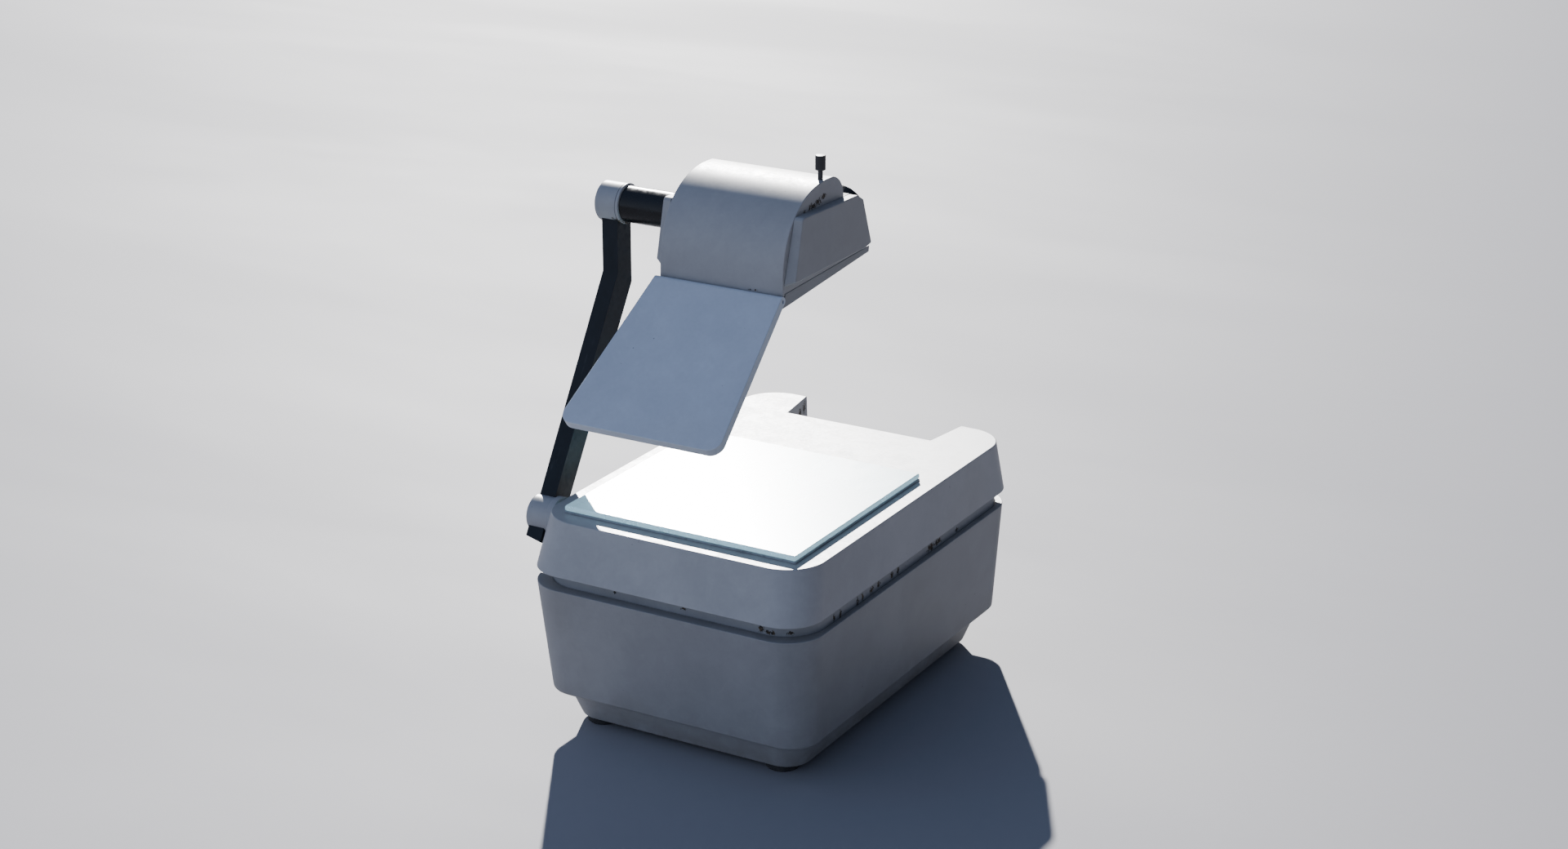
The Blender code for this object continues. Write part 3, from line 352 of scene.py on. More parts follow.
class Nodes:
    """Short hand for building a material's node tree."""

    def __init__(self, name):
        self.material = bpy.data.materials.new(name)
        self.material.use_nodes = True
        self.tree = self.material.node_tree
        self.shader = self.tree.nodes["Principled BSDF"]
        self.output = self.tree.nodes["Material Output"]
        self.place = self.add("ShaderNodeTexCoord").outputs["Object"]

    def add(self, kind, inputs=None, **settings):
        node = self.tree.nodes.new(kind)
        for key, value in settings.items():
            setattr(node, key, value)
        for key, value in (inputs or {}).items():
            self.put(node.inputs[key], value)
        return node

    def put(self, socket, value):
        if isinstance(value, bpy.types.NodeSocket):
            self.tree.links.new(value, socket)
        else:
            socket.default_value = value

    def set(self, **values):
        for key, value in values.items():
            self.put(self.shader.inputs[key.replace("_", " ")], value)

    def math(self, operation, a, b=None, c=None, clamp=False):
        node = self.add("ShaderNodeMath", operation=operation, use_clamp=clamp)
        for k, value in enumerate((a, b, c)):
            if value is not None:
                self.put(node.inputs[k], value)
        return node.outputs[0]

    def moved(self, offset=(0, 0, 0), scale=(1, 1, 1), rotation=(0, 0, 0)):
        node = self.add("ShaderNodeMapping")
        node.inputs["Location"].default_value = offset
        node.inputs["Scale"].default_value = scale
        node.inputs["Rotation"].default_value = rotation
        self.put(node.inputs["Vector"], self.place)
        return node.outputs[0]

    def noise(self, scale, detail=4.0, rough=0.55, warp=0.0, vector=None):
        node = self.add(
            "ShaderNodeTexNoise",
            {"Vector": self.place if vector is None else vector, "Scale": scale, "Detail": detail, "Roughness": rough, "Distortion": warp},
        )
        return node.outputs["Fac"]

    def fit(self, value, low, high, to_low=0.0, to_high=1.0, smooth=True):
        node = self.add(
            "ShaderNodeMapRange",
            {"Value": value, "From Min": low, "From Max": high, "To Min": to_low, "To Max": to_high},
            interpolation_type="SMOOTHSTEP" if smooth else "LINEAR",
        )
        return node.outputs["Result"]

    def mix(self, factor, a, b, blend="MIX"):
        node = self.add("ShaderNodeMix", data_type="RGBA", blend_type=blend)
        self.put(node.inputs["Factor"], factor)
        for socket, value in ((node.inputs[6], a), (node.inputs[7], b)):
            if isinstance(value, (tuple, list)) and len(value) == 3:
                value = (*value, 1.0)
            self.put(socket, value)
        return node.outputs[2]

    def scaled(self, colour, amount):
        """Colour times a grey amount."""
        node = self.add("ShaderNodeVectorMath", operation="SCALE")
        if not isinstance(colour, bpy.types.NodeSocket):
            colour = tuple(colour)[:3]
        self.put(node.inputs[0], colour)
        self.put(node.inputs["Scale"], amount)
        return node.outputs[0]

    def bump(self, height, strength, distance, normal=None):
        node = self.add("ShaderNodeBump", {"Height": height, "Strength": strength, "Distance": distance})
        if normal is not None:
            self.put(node.inputs["Normal"], normal)
        return node.outputs[0]

    def near(self, point, radius, squash=(1, 1, 1)):
        """1 at a point given in base millimetres, falling to 0 at the radius."""
        where = (Vector(point) * MM + OFFSET)
        shift = self.add("ShaderNodeVectorMath", operation="SUBTRACT")
        self.put(shift.inputs[0], self.place)
        shift.inputs[1].default_value = where
        stretch = self.add("ShaderNodeVectorMath", operation="MULTIPLY")
        self.put(stretch.inputs[0], shift.outputs[0])
        stretch.inputs[1].default_value = squash
        length = self.add("ShaderNodeVectorMath", operation="LENGTH")
        self.put(length.inputs[0], stretch.outputs[0])
        return self.fit(length.outputs["Value"], radius * MM, 0.0, smooth=False)

    def axis(self, which):
        node = self.add("ShaderNodeSeparateXYZ", {"Vector": self.place})
        return node.outputs[which]


def plastic(name, base, rough=0.46, seed=0.0, chips=(), chip_band=None, blotch=0.07, low_shade=None, speck=True):
    """Aged moulded plastic: cloudy patches, fine mottling, scuffs, specks, chips of brown dirt, a faint moulded grain,
    and optionally a band of painted shade darkening it towards the bottom.
    """
    m = Nodes(name)
    spot = m.moved(offset=(seed, seed * 1.7, -seed * 0.6))
    cloud = m.noise(11.0, 5.0, 0.6, 0.4, spot)
    patch = m.noise(46.0, 6.0, 0.62, 0.7, spot)
    fine = m.noise(260.0, 5.0, 0.6, 0.0, spot)
    shade = m.math(
        "ADD",
        m.fit(cloud, 0.3, 0.7, 1.0 - blotch, 1.0 + blotch * 0.6),
        m.math("ADD", m.fit(patch, 0.35, 0.72, -blotch * 0.45, blotch * 0.55), m.fit(fine, 0.3, 0.7, -0.018, 0.018)),
    )
    colour = m.scaled(base, shade)
    # slightly warmer where it has yellowed
    warm = m.fit(m.noise(7.0, 3.0, 0.5, 0.2, spot), 0.52, 0.7, 0.0, 0.30)
    colour = m.mix(warm, colour, m.mix(1.0, colour, (1.0, 0.965, 0.90), "MULTIPLY"))
    # scuffs: short pale streaks in two directions
    streak_a = m.noise(85.0, 3.0, 0.5, 0.0, m.moved(offset=(seed, 2, 1), scale=(0.16, 1.0, 1.0), rotation=(0.3, 0.2, 0.5)))
    streak_b = m.noise(95.0, 3.0, 0.5, 0.0, m.moved(offset=(1, seed, 3), scale=(1.0, 0.18, 1.0), rotation=(0.1, 0.6, -0.4)))
    scuff = m.math("MAXIMUM", m.fit(streak_a, 0.66, 0.74), m.fit(streak_b, 0.67, 0.75))
    scuff = m.math("MULTIPLY", scuff, m.fit(patch, 0.45, 0.65))
    colour = m.mix(m.math("MULTIPLY", scuff, 0.20), colour, m.scaled(base, 1.22))
    dirt = None
    if speck:
        dots = m.add("ShaderNodeTexVoronoi", {"Vector": spot, "Scale": 95.0, "Randomness": 1.0})
        rare = m.fit(m.noise(31.0, 2.0, 0.5, 0.0, spot), 0.60, 0.66)
        dirt = m.math("MULTIPLY", m.fit(dots.outputs["Distance"], 0.085, 0.05), rare)
        dirt = m.math("MULTIPLY", dirt, 0.55)
    if low_shade is not None:
        # painted shade: a low band, darker towards the bottom, between two heights
        low, high, strength = low_shade
        band = m.fit(m.axis("Z"), high * MM, low * MM)
        band = m.math("MULTIPLY", band, m.fit(m.noise(34.0, 6.0, 0.65, 0.5, spot), 0.32, 0.66))
        colour = m.mix(m.math("MULTIPLY", band, strength), colour, (0.16, 0.145, 0.125))
    if chips:
        ragged = m.noise(330.0, 5.0, 0.7, 1.2, spot)
        reach = None
        for point, radius, squash in chips:
            one = m.near(point, radius, squash)
            reach = one if reach is None else m.math("MAXIMUM", reach, one)
        mark = m.fit(m.math("ADD", reach, m.fit(ragged, 0.25, 0.75, -0.75, 0.62, smooth=False)), 0.42, 0.52)
        mark = m.math("MULTIPLY", mark, m.fit(reach, 0.02, 0.12))
        dirt = mark if dirt is None else m.math("MAXIMUM", dirt, mark)
    if chip_band is not None:
        # scattered chips along a band of heights, denser in places
        low, high, amount = chip_band
        z = m.axis("Z")
        inside = m.math("MULTIPLY", m.fit(z, (low - 1.0) * MM, (low + 1.0) * MM), m.fit(z, (high + 1.0) * MM, (high - 1.0) * MM))
        where = m.fit(m.noise(15.0, 3.0, 0.6, 0.0, spot), 0.56, 0.66)
        ragged = m.noise(210.0, 6.0, 0.72, 1.0, spot)
        band = m.math("MULTIPLY", m.fit(ragged, 0.60, 0.635), m.math("MULTIPLY", inside, m.math("MULTIPLY", where, amount)))
        dirt = band if dirt is None else m.math("MAXIMUM", dirt, band)
    gloss = m.math(
        "ADD",
        m.fit(patch, 0.3, 0.7, rough - 0.025, rough + 0.035),
        m.math("ADD", m.fit(fine, 0.3, 0.7, -0.025, 0.025), m.math("MULTIPLY", scuff, 0.08)),
    )
    grain = m.noise(1500.0, 2.0, 0.5, 0.0)
    height = m.math("ADD", m.math("MULTIPLY", grain, 0.5), m.math("MULTIPLY", fine, 0.35))
    if dirt is not None:
        mud = m.mix(m.fit(m.noise(420.0, 3.0), 0.4, 0.6), (0.012, 0.011, 0.010), (0.085, 0.058, 0.030))
        colour = m.mix(dirt, colour, mud)
        gloss = m.math("ADD", gloss, m.math("MULTIPLY", dirt, 0.3))
        height = m.math("SUBTRACT", height, m.math("MULTIPLY", dirt, 0.9))
    m.set(Base_Color=colour, Roughness=gloss, Normal=m.bump(height, 0.16, 0.00025))
    m.shader.inputs["Specular IOR Level"].default_value = 0.5
    return m.material


def paint(name, base, rough, dust=(0.07, 0.085, 0.10), seed=0.0, wear=0.0, coat=0.0, shine=0.5, relief=0.10):
    """Satin paint with fine orange peel, dust and rubbed patches."""
    m = Nodes(name)
    spot = m.moved(offset=(seed, -seed, seed * 0.5))
    cloud = m.noise(24.0, 6.0, 0.62, 0.6, spot)
    fine = m.noise(190.0, 5.0, 0.6, 0.2, spot)
    lines = m.noise(150.0, 3.0, 0.5, 0.0, m.moved(scale=(1.0, 0.35, 0.08), rotation=(0.55, 0, 0)))
    colour = m.scaled(base, m.fit(cloud, 0.3, 0.7, 0.8, 1.25))
    film = m.math("MULTIPLY", m.fit(cloud, 0.42, 0.72), m.fit(fine, 0.3, 0.62))
    colour = m.mix(m.math("MULTIPLY", film, 0.45), colour, dust)
    colour = m.mix(m.math("MULTIPLY", m.fit(lines, 0.64, 0.74), 0.22 + wear), colour, tuple(min(1.0, 2.2 * c + 0.03) for c in base))
    gloss = m.math("ADD", m.fit(fine, 0.3, 0.7, rough - 0.05, rough + 0.07), m.math("MULTIPLY", film, 0.18))
    peel = m.noise(750.0, 2.0, 0.5)
    m.set(Base_Color=colour, Roughness=gloss, Normal=m.bump(peel, relief, 0.0002))
    m.shader.inputs["Specular IOR Level"].default_value = shine
    if coat:
        m.shader.inputs["Coat Weight"].default_value = coat
        m.shader.inputs["Coat Roughness"].default_value = 0.12
    return m.material


def metal(name, base, rough, brush=(1.0, 1.0, 1.0), seed=0.0, spots=0.25):
    m = Nodes(name)
    lines = m.noise(420.0, 4.0, 0.6, 0.0, m.moved(offset=(seed, 0, seed), scale=brush))
    cloud = m.noise(38.0, 5.0, 0.6, 0.4)
    colour = m.scaled(base, m.math("ADD", m.fit(lines, 0.3, 0.7, 0.88, 1.06), m.fit(cloud, 0.3, 0.7, -0.05, 0.05)))
    colour = m.mix(m.math("MULTIPLY", m.fit(cloud, 0.58, 0.7), spots), colour, (0.20, 0.15, 0.10))
    m.set(Base_Color=colour, Roughness=m.fit(lines, 0.25, 0.75, rough - 0.08, rough + 0.12), Normal=m.bump(lines, 0.08, 0.0001))
    m.shader.inputs["Metallic"].default_value = 1.0
    return m.material


def rubber(name, base=(0.014, 0.014, 0.015), rough=0.78):
    m = Nodes(name)
    dust = m.noise(60.0, 6.0, 0.65, 0.4)
    fine = m.noise(700.0, 3.0, 0.6)
    colour = m.mix(m.fit(dust, 0.46, 0.72, 0.0, 0.5), base, (0.075, 0.07, 0.065))
    m.set(Base_Color=colour, Roughness=m.fit(dust, 0.3, 0.7, rough - 0.1, rough + 0.12), Normal=m.bump(fine, 0.2, 0.0002))
    return m.material


def clear(name, tint, rough=0.02, smear=0.05, ior=1.5, through=1.0, painted_glow=0.0):
    """Clear glass with faint wipe marks, and optionally a painted glow."""
    m = Nodes(name)
    wipe = m.noise(18.0, 5.0, 0.6, 1.2, m.moved(scale=(1.0, 0.35, 1.0), rotation=(0, 0, 0.5)))
    dust = m.noise(380.0, 4.0, 0.6)
    m.set(
        Base_Color=m.mix(m.fit(wipe, 0.35, 0.7), tint, tuple(c * 0.985 for c in tint)),
        Roughness=m.math("ADD", m.fit(wipe, 0.45, 0.75, rough, rough + smear), m.fit(dust, 0.62, 0.75, 0.0, smear)),
    )
    m.shader.inputs["IOR"].default_value = ior
    m.shader.inputs["Transmission Weight"].default_value = through
    if painted_glow:
        # painted glow: the glass itself emits a faint pale cyan light that lightens its edges and the shade on it, in
        # place of the lamp's light spreading inside the sheet
        m.shader.inputs["Emission Color"].default_value = (0.62, 0.86, 0.95, 1.0)
        m.shader.inputs["Emission Strength"].default_value = painted_glow
    return m.material


def lit_fresnel(name):
    """The stage's Fresnel sheet with fine concentric grooves and a painted glow: the sheet itself emits light,
    brightest over the lamp, in place of the lamp's light from below.
    """
    m = Nodes(name)
    middle = Vector((0.0, STAGE_Y, 0.0)) * MM + OFFSET
    shift = m.add("ShaderNodeVectorMath", operation="SUBTRACT")
    m.put(shift.inputs[0], m.place)
    shift.inputs[1].default_value = middle
    flat = m.add("ShaderNodeVectorMath", operation="MULTIPLY")
    m.put(flat.inputs[0], shift.outputs[0])
    flat.inputs[1].default_value = (1, 1, 0)
    length = m.add("ShaderNodeVectorMath", operation="LENGTH")
    m.put(length.inputs[0], flat.outputs[0])
    radius = length.outputs["Value"]
    groove = m.math("PINGPONG", m.math("MULTIPLY", radius, 420.0), 0.5)
    bright = m.fit(radius, 0.02, 0.20, 1.0, 0.74)
    glow = m.scaled((0.70, 0.93, 1.0), bright)
    m.set(Base_Color=(0.80, 0.86, 0.90, 1.0), Roughness=m.fit(groove, 0.0, 0.5, 0.22, 0.36), Normal=m.bump(groove, 0.25, 0.0003))
    # painted glow: the sheet's own emission, fading away from its middle
    m.put(m.shader.inputs["Emission Color"], glow)
    m.shader.inputs["Emission Strength"].default_value = FRESNEL_GLOW
    return m.material


# strength of the Fresnel sheet's painted glow
FRESNEL_GLOW = 2.0
CASE = (0.30, 0.30, 0.308)

groove_chips = [
    ((106.0, -215.0, 163.0), 7.0, (1.0, 1.0, 1.3)),
    ((113.0, -214.5, 161.5), 4.5, (1.0, 1.0, 0.8)),
    ((118.5, -213.5, 161.0), 4.5, (1.0, 1.0, 0.9)),
    ((133.0, -206.5, 161.5), 6.5, (1.0, 1.0, 1.4)),
    ((152.4, -156.0, 161.5), 5.5, (1.0, 1.2, 0.8)),
    ((152.4, -143.0, 161.5), 4.5, (1.0, 1.0, 0.7)),
    ((152.4, -109.0, 161.0), 6.0, (1.0, 1.3, 0.7)),
    ((152.4, -99.0, 161.5), 5.0, (1.0, 1.2, 0.7)),
    ((152.4, -80.0, 163.0), 6.5, (1.0, 0.9, 0.9)),
    ((152.4, -66.0, 163.5), 5.0, (1.0, 1.0, 0.8)),
    ((152.4, -38.0, 163.0), 5.5, (1.0, 1.0, 0.8)),
    ((152.4, -25.0, 163.5), 5.5, (1.0, 1.2, 0.7)),
    ((152.4, 46.0, 163.0), 11.0, (1.0, 0.75, 1.5)),
    ((152.4, 63.0, 163.5), 9.0, (1.0, 0.7, 1.5)),
    ((152.4, 104.0, 162.0), 5.0, (1.0, 0.8, 1.2)),
    ((-60.0, -215.0, 165.0), 4.0, (0.8, 1.0, 1.4)),
    ((20.0, -215.0, 165.0), 4.0, (0.7, 1.0, 1.4)),
    ((-152.4, 60.0, 163.0), 6.0, (1.0, 0.9, 1.3)),
    ((-152.4, -20.0, 162.0), 5.0, (1.0, 1.0, 1.3)),
    ((30.0, 226.4, 163.0), 7.0, (0.8, 1.0, 1.3)),
]
head_chips = [
    ((68.8, -52.0, 533.4), 8.5, (1.0, 0.62, 1.5)),
    ((68.8, -41.0, 535.8), 8.0, (1.0, 0.62, 1.5)),
    ((68.8, -31.0, 538.6), 6.5, (1.0, 0.7, 1.4)),
    ((68.8, -68.2, 531.4), 4.2, (1.0, 1.0, 1.0)),
    ((38.5, -109.2, 460.6), 3.4, (0.8, 1.0, 2.0)),
    ((32.0, -109.2, 460.2), 3.0, (0.8, 1.0, 2.0)),
]
notch_chips = [
    ((-92.5, 218.0, 216.0), 9.0, (1.0, 0.9, 0.8)),
    ((-91.5, 206.0, 214.0), 7.0, (1.0, 0.9, 0.8)),
    ((92.5, 205.0, 212.0), 8.0, (1.0, 0.8, 0.9)),
    ((0.0, 171.0, 196.0), 9.0, (0.5, 1.0, 1.2)),
]

mat = {
    # painted light and shade: one grey plastic is made 1.12 times lighter on the sunlit top casing and 0.86 and 0.88
    # times darker on the shaded lower casing and tray
    "top": plastic("top_casing_plastic", tuple(c * 1.12 for c in CASE), 0.41, 0.3, chips=notch_chips),
    "lower": plastic("lower_casing_plastic", tuple(c * 0.86 for c in CASE), 0.50, 3.1, low_shade=(36, 70, 0.28)),
    "tray": plastic("bottom_tray_plastic", tuple(c * 0.88 for c in CASE), 0.55, 5.2, low_shade=(9, 40, 0.5)),
    "groove": plastic("seal_frame_plastic", (0.28, 0.29, 0.31), 0.5, 1.9, chips=groove_chips, chip_band=(160.2, 171.0, 0.85), blotch=0.1),
    "head": plastic("head_shell_plastic", tuple(c * 1.0 for c in CASE), 0.42, 7.7, chips=head_chips),
    "cover": plastic("side_cover_plastic", tuple(c * 0.88 for c in CASE), 0.46, 9.4),
    "base": plastic("head_plate_plastic", tuple(c * 0.83 for c in CASE), 0.48, 12.6),
    "hub": plastic(
        "hub_plastic", (0.295, 0.30, 0.313), 0.40, 15.3,
        chips=[((-163.0, -40.0, 482.0), 10.0, (0.9, 0.6, 1.0)), ((-160.0, -30.0, 478.6), 9.0, (0.9, 0.6, 1.0))],
    ),
    "flap": plastic("flap_plastic", (0.50, 0.545, 0.61), 0.42, 18.8, blotch=0.05),
    "arm": paint("arm_paint", (0.0085, 0.0115, 0.0155), 0.38, (0.014, 0.018, 0.024), 2.0, shine=0.17),
    "tube": paint("gloss_black_tube", (0.003, 0.0035, 0.0045), 0.24, (0.006, 0.007, 0.009), 4.0, shine=0.3, relief=0.015),
    "hood": paint("gloss_black_hood", (0.004, 0.004, 0.005), 0.22, (0.012, 0.013, 0.015), 6.0, shine=0.45, relief=0.015),
    "black": paint("black_plastic", (0.014, 0.014, 0.015), 0.42, (0.05, 0.05, 0.052), 8.0),
    "knob": paint("knob_black_plastic", (0.016, 0.016, 0.017), 0.38, (0.06, 0.06, 0.062), 9.0),
    "rubber": rubber("foot_rubber"),
    "gasket": rubber("gasket_rubber", (0.25, 0.275, 0.30), 0.6),
    "steel": metal("zinc_steel", (0.52, 0.52, 0.54), 0.36, (1.0, 0.12, 1.0), 1.0),
    "turned": metal("turned_steel", (0.60, 0.60, 0.62), 0.28, (0.2, 1.0, 1.0), 2.0, 0.1),
    "mirror": metal("silver_mirror", (0.92, 0.93, 0.94), 0.10, (1.0, 1.0, 1.0), 3.0, 0.0),
    "copper": metal("enamelled_copper", (0.58, 0.25, 0.10), 0.38, (1.0, 1.0, 12.0), 4.0, 0.05),
    "ceramic": plastic("lamp_ceramic", (0.68, 0.66, 0.60), 0.6, 21.0, blotch=0.06),
    "glass": clear("stage_float_glass", (0.40, 0.62, 0.70), 0.27, 0.04, 1.5, 0.3, painted_glow=0.30),
    "lens": clear("coated_lens_glass", (0.93, 0.95, 1.0), 0.01, 0.02, 1.52),
    "bulb": clear("bulb_glass", (0.98, 0.97, 0.95), 0.03, 0.05),
    "fresnel": lit_fresnel("lit_fresnel_sheet"),
}

# -------------------------------------------------------------- fine: casings


def lower_at(z):
    return between(LOWER_BOTTOM, LOWER_TOP, z)


stations = fillet_levels(lower_at, 38.5, 3.6, -1, 4)
stations = [level(lower_at(38.5), 13.5, 38.5)] + stations
stations += fillet_levels(lower_at, 159.2, 0.9, +1, 3)[0:3]
stations += [
    [(x, y, 159.2) for x, y in outline(159.4, -229.5, 227.1, 39.9)],
    [(x, y, 158.5) for x, y in outline(153.3, -216.2, 226.95, 42.4)],
    [(x, y, 158.0) for x, y in outline(152.8, -215.4, 226.8, 42.4)],
    [(x, y, 150.5) for x, y in outline(152.8, -215.4, 225.5, 42.4)],
    level(lower_at(147.5), 3.0, 147.5),
    level(lower_at(42.5), 3.0, 42.5),
    level(lower_at(38.5), 13.5, 42.5),
]
fine_lower = loft(stations, ring=True)
fine_lower = carve(
    fine_lower,
    joined([box((-89.8, 205, 82.2), (-58.2, 240, 109.8)), box((47.7, 205, 82.7), (76.3, 240, 109.3)), rod(7.3, 205, 240, "y", (-32.0, 0, 96.0), 48)]),
)
finish_piece("lower_casing_fine", fine_lower, mat["lower"], "lower_casing", "base", sharp=32)

groove_ring = [
    [(x, y, 150.9) for x, y in outline(GROOVE[0], GROOVE[1], GROOVE[2] - 1.6, GROOVE[3])],
    [(x, y, 179.4) for x, y in outline(GROOVE[0], GROOVE[1], GROOVE[2], GROOVE[3])],
    [(x, y, 179.4) for x, y in outline(GROOVE[0] - 3, GROOVE[1] + 3, GROOVE[2] - 3, GROOVE[3] - 3)],
    [(x, y, 150.9) for x, y in outline(GROOVE[0] - 3, GROOVE[1] + 3, GROOVE[2] - 4.6, GROOVE[3] - 3)],
]
finish_piece("seal_frame_fine", loft(groove_ring, ring=True), mat["groove"], "seal_frame", "base", sharp=40)


def tray_at(z):
    return between(TRAY_BOTTOM, TRAY_TOP, z)


tray = [*fillet_levels(tray_at, 6.3, 1.8, -1, 4), *[level(TRAY_TOP)], level(TRAY_TOP, 3.0), level(tray_at(9.5), 3.0, 9.5)]
tray = loft(tray)
posts = [rod(6.0, 9.0, 15.5, "z", (sx * 108.0, y, 0), 32) for sx in (-1, 1) for y in (-120.0, 130.0)]
tray = carve(tray, joined(posts), "UNION")
holes = [box((34 + 9 * k, 70, 4), (38.5 + 9 * k, 106, 20)) for k in range(5)]
for sx in (-1, 1):
    for y in (-120.0, 130.0):
        holes.append(rod(2.2, 3, 20, "z", (sx * 108.0, y, 0), 24))
tray = carve(tray, joined(holes))
tray = carve(tray, joined([rod(4.6, 3, 8.0, "z", (sx * 108.0, y, 0), 32) for sx in (-1, 1) for y in (-120.0, 130.0)]))
finish_piece("bottom_tray_fine", tray, mat["tray"], "bottom_tray", "base", sharp=34)


def upper_at(z):
    return between(UPPER_RIM, UPPER_TOP, z)


def recess_plan(grow_by, rear):
    wide = RECESS_REAR_HW + (rear - 226.6) * 0.145
    return [
        (-RECESS_FRONT_HW - grow_by, RECESS_FRONT_Y - grow_by),
        (RECESS_FRONT_HW + grow_by, RECESS_FRONT_Y - grow_by),
        (wide + grow_by, rear),
        (-wide - grow_by, rear),
    ]


shell = [*fillet_levels(upper_at, 173.8, 0.8, -1, 3), *fillet_levels(upper_at, 226.8, 1.0, +1, 4)]
top = loft(shell)
void = loft(
    [
        [(x, y, 160.0) for x, y in outline(GROOVE[0] + 0.4, GROOVE[1] - 0.4, GROOVE[2] + 0.4, GROOVE[3] + 0.4)],
        [(x, y, 179.9) for x, y in outline(GROOVE[0] + 0.4, GROOVE[1] - 0.4, GROOVE[2] + 0.4, GROOVE[3] + 0.4)],
        [(x, y, 182.5) for x, y in outline(149.8, -212.4, 223.6, 39.0)],
        [(x, y, 223.6) for x, y in outline(149.2, -211.8, 223.0, 38.6)],
    ]
)
void = carve(void, prism_z(recess_plan(3.0, 236.0), 180.4, 240.0))
top = carve(top, void)
flare = [[(x, y, RECESS_FLOOR) for x, y in recess_plan(0.0, 240.0)]]
for k in range(5):
    a = math.pi / 2 * k / 4
    flare.append([(x, y, 226.8 - 1.0 + 1.0 * math.sin(a)) for x, y in recess_plan(1.0 * (1 - math.cos(a)), 240.0)])
flare.append([(x, y, 240.0) for x, y in recess_plan(1.2, 240.0)])
top = carve(top, loft(flare))
top = carve(top, prism_z(outline(APERTURE[0], APERTURE[1], APERTURE[2], 4.0, 6), 215.0, 240.0))
top = carve(top, box((-74.4, 181.6, 176.0), (74.4, 212.4, 190.0)))
top = carve(top, rod(COLLAR_R + 0.25, -175.0, -151.9, "x", (0, *LOWER_PIVOT), 96))
top = carve(top, rod(SPINDLE_R + 0.4, -160.0, -140.0, "x", (0, *LOWER_PIVOT), 48))
finish_piece("top_casing_fine", top, mat["top"], "top_casing", "base", sharp=32)

# ---------------------------------------------------------------- fine: stage
gasket = loft(
    [
        [(x, y, 227.05) for x, y in outline(GASKET[0], GASKET[1], GASKET[2], 2.0, 6)],
        [(x, y, 228.5) for x, y in outline(GASKET[0], GASKET[1], GASKET[2], 2.0, 6)],
        [(x, y, 229.1) for x, y in outline(GASKET[0] - 0.7, GASKET[1] + 0.7, GASKET[2] - 0.7, 1.6, 6)],
        [(x, y, 229.1) for x, y in outline(GASKET[0] - 9, GASKET[1] + 9, GASKET[2] - 9, 2.0, 6)],
        [(x, y, 227.05) for x, y in outline(GASKET[0] - 9, GASKET[1] + 9, GASKET[2] - 9, 2.0, 6)],
    ],
    ring=True,
)
finish_piece("stage_gasket_fine", gasket, mat["gasket"], "stage_gasket", "base")
pane = loft(
    [
        [(x, y, 229.3) for x, y in outline(GLASS[0] - 1.1, GLASS[1] + 1.1, GLASS[2] - 1.1, 1.2, 6)],
        [(x, y, 230.4) for x, y in outline(GLASS[0], GLASS[1], GLASS[2], 2.0, 6)],
        [(x, y, 233.4) for x, y in outline(GLASS[0], GLASS[1], GLASS[2], 2.0, 6)],
        [(x, y, 234.6) for x, y in outline(GLASS[0] - 1.2, GLASS[1] + 1.2, GLASS[2] - 1.2, 1.2, 6)],
    ]
)
finish_piece("stage_glass_fine", pane, mat["glass"], "stage_glass", "base", sharp=20)
for name, key, slot_name in (("fresnel_lens", "fresnel", "optical_glass"), ("fresnel_retainer", "steel", "steel")):
    remake(name, mat[key], "base", 0.25)

# ----------------------------------------------------------------- fine: feet
for side, sx in (("left", -1), ("right", 1)):
    for end, y in (("front", -170.5), ("rear", 171.0)):
        foot = spun(
            round_corners(
                [(17.0, 6.0), (17.0, 0.0), (12.5, 0.0), (11.8, 0.9), (5.6, 0.9), (5.0, 2.2), (0.001, 2.2), (0.001, 6.0)],
                [0.4, 1.4, 0.5, 0.3, 0.3, 0.4, 0, 0],
                4,
            ),
            "z",
            (sx * (104.5 if y < 0 else 102.0), y, 0),
            72,
        )
        node = f"foot_{end}_{side}"
        finish_piece(node + "_fine", foot, mat["rubber"], node, "base", sharp=40)

for index, (sx, y) in enumerate(((-1, -120.0), (1, -120.0), (-1, 130.0), (1, 130.0)), 1):
    head = spun([(0, 16.5), (1.9, 16.5), (1.9, 7.7), (4.2, 7.7), (4.2, 7.1), (3.6, 6.7), (2.4, 6.5), (0, 6.4)], "z", (sx * 108.0, y, 0), 40)
    for size in ((2.4, 0.5), (0.5, 2.4)):
        head = carve(head, box((sx * 108.0 - size[0], y - size[1], 5.0), (sx * 108.0 + size[0], y + size[1], 7.3)))
    finish_piece(f"tray_screw_{index}_fine", head, mat["turned"], f"tray_screw_{index}", "base", sharp=35)

# ------------------------------------------------------------------ fine: arm
PY, PZ = LOWER_PIVOT
UY, UZ = UPPER_PIVOT
finish_piece(
    "pivot_collar_fine",
    spun(
        round_corners([(COLLAR_R, 6.9), (COLLAR_R, 0.0), (SPINDLE_R + 0.4, 0.0), (SPINDLE_R + 0.4, 6.9)], [0.2, 1.4, 0.3, 0.2], 5),
        "x", (COLLAR_FACE, PY, PZ), 128,
    ),
    mat["hub"], "pivot_collar", "base", sharp=40,
)
BAR = [
    (-190.4, 192.0), (-178.5, 211.5), (-171.5, 214.5), (-41.6, 428.9), (-41.3, 509.5),
    (-16.6, 509.5), (-16.7, 413.6), (-141.3, 212.8), (-155.0, 198.4), (-167.4, 178.0),
]
bar = loft(
    [
        [(ARM_X0, y, z) for y, z in BAR],
        [(ARM_X1, y, z) for y, z in [(-192.5, 188.6)] + BAR[1:-1] + [(-169.5, 174.6)]],
    ]
)
bar = carve(bar, rod(SPINDLE_R + 0.2, -190, -150, "x", (0, PY, PZ), 40))
bar = carve(bar, rod(SPINDLE_R + 0.2, -190, -150, "x", (0, UY, UZ), 40))
finish_piece("arm_bar_fine", bar, mat["arm"], "arm_bar", "arm", bevel=1.1, bevel_angle=35, segments=3)

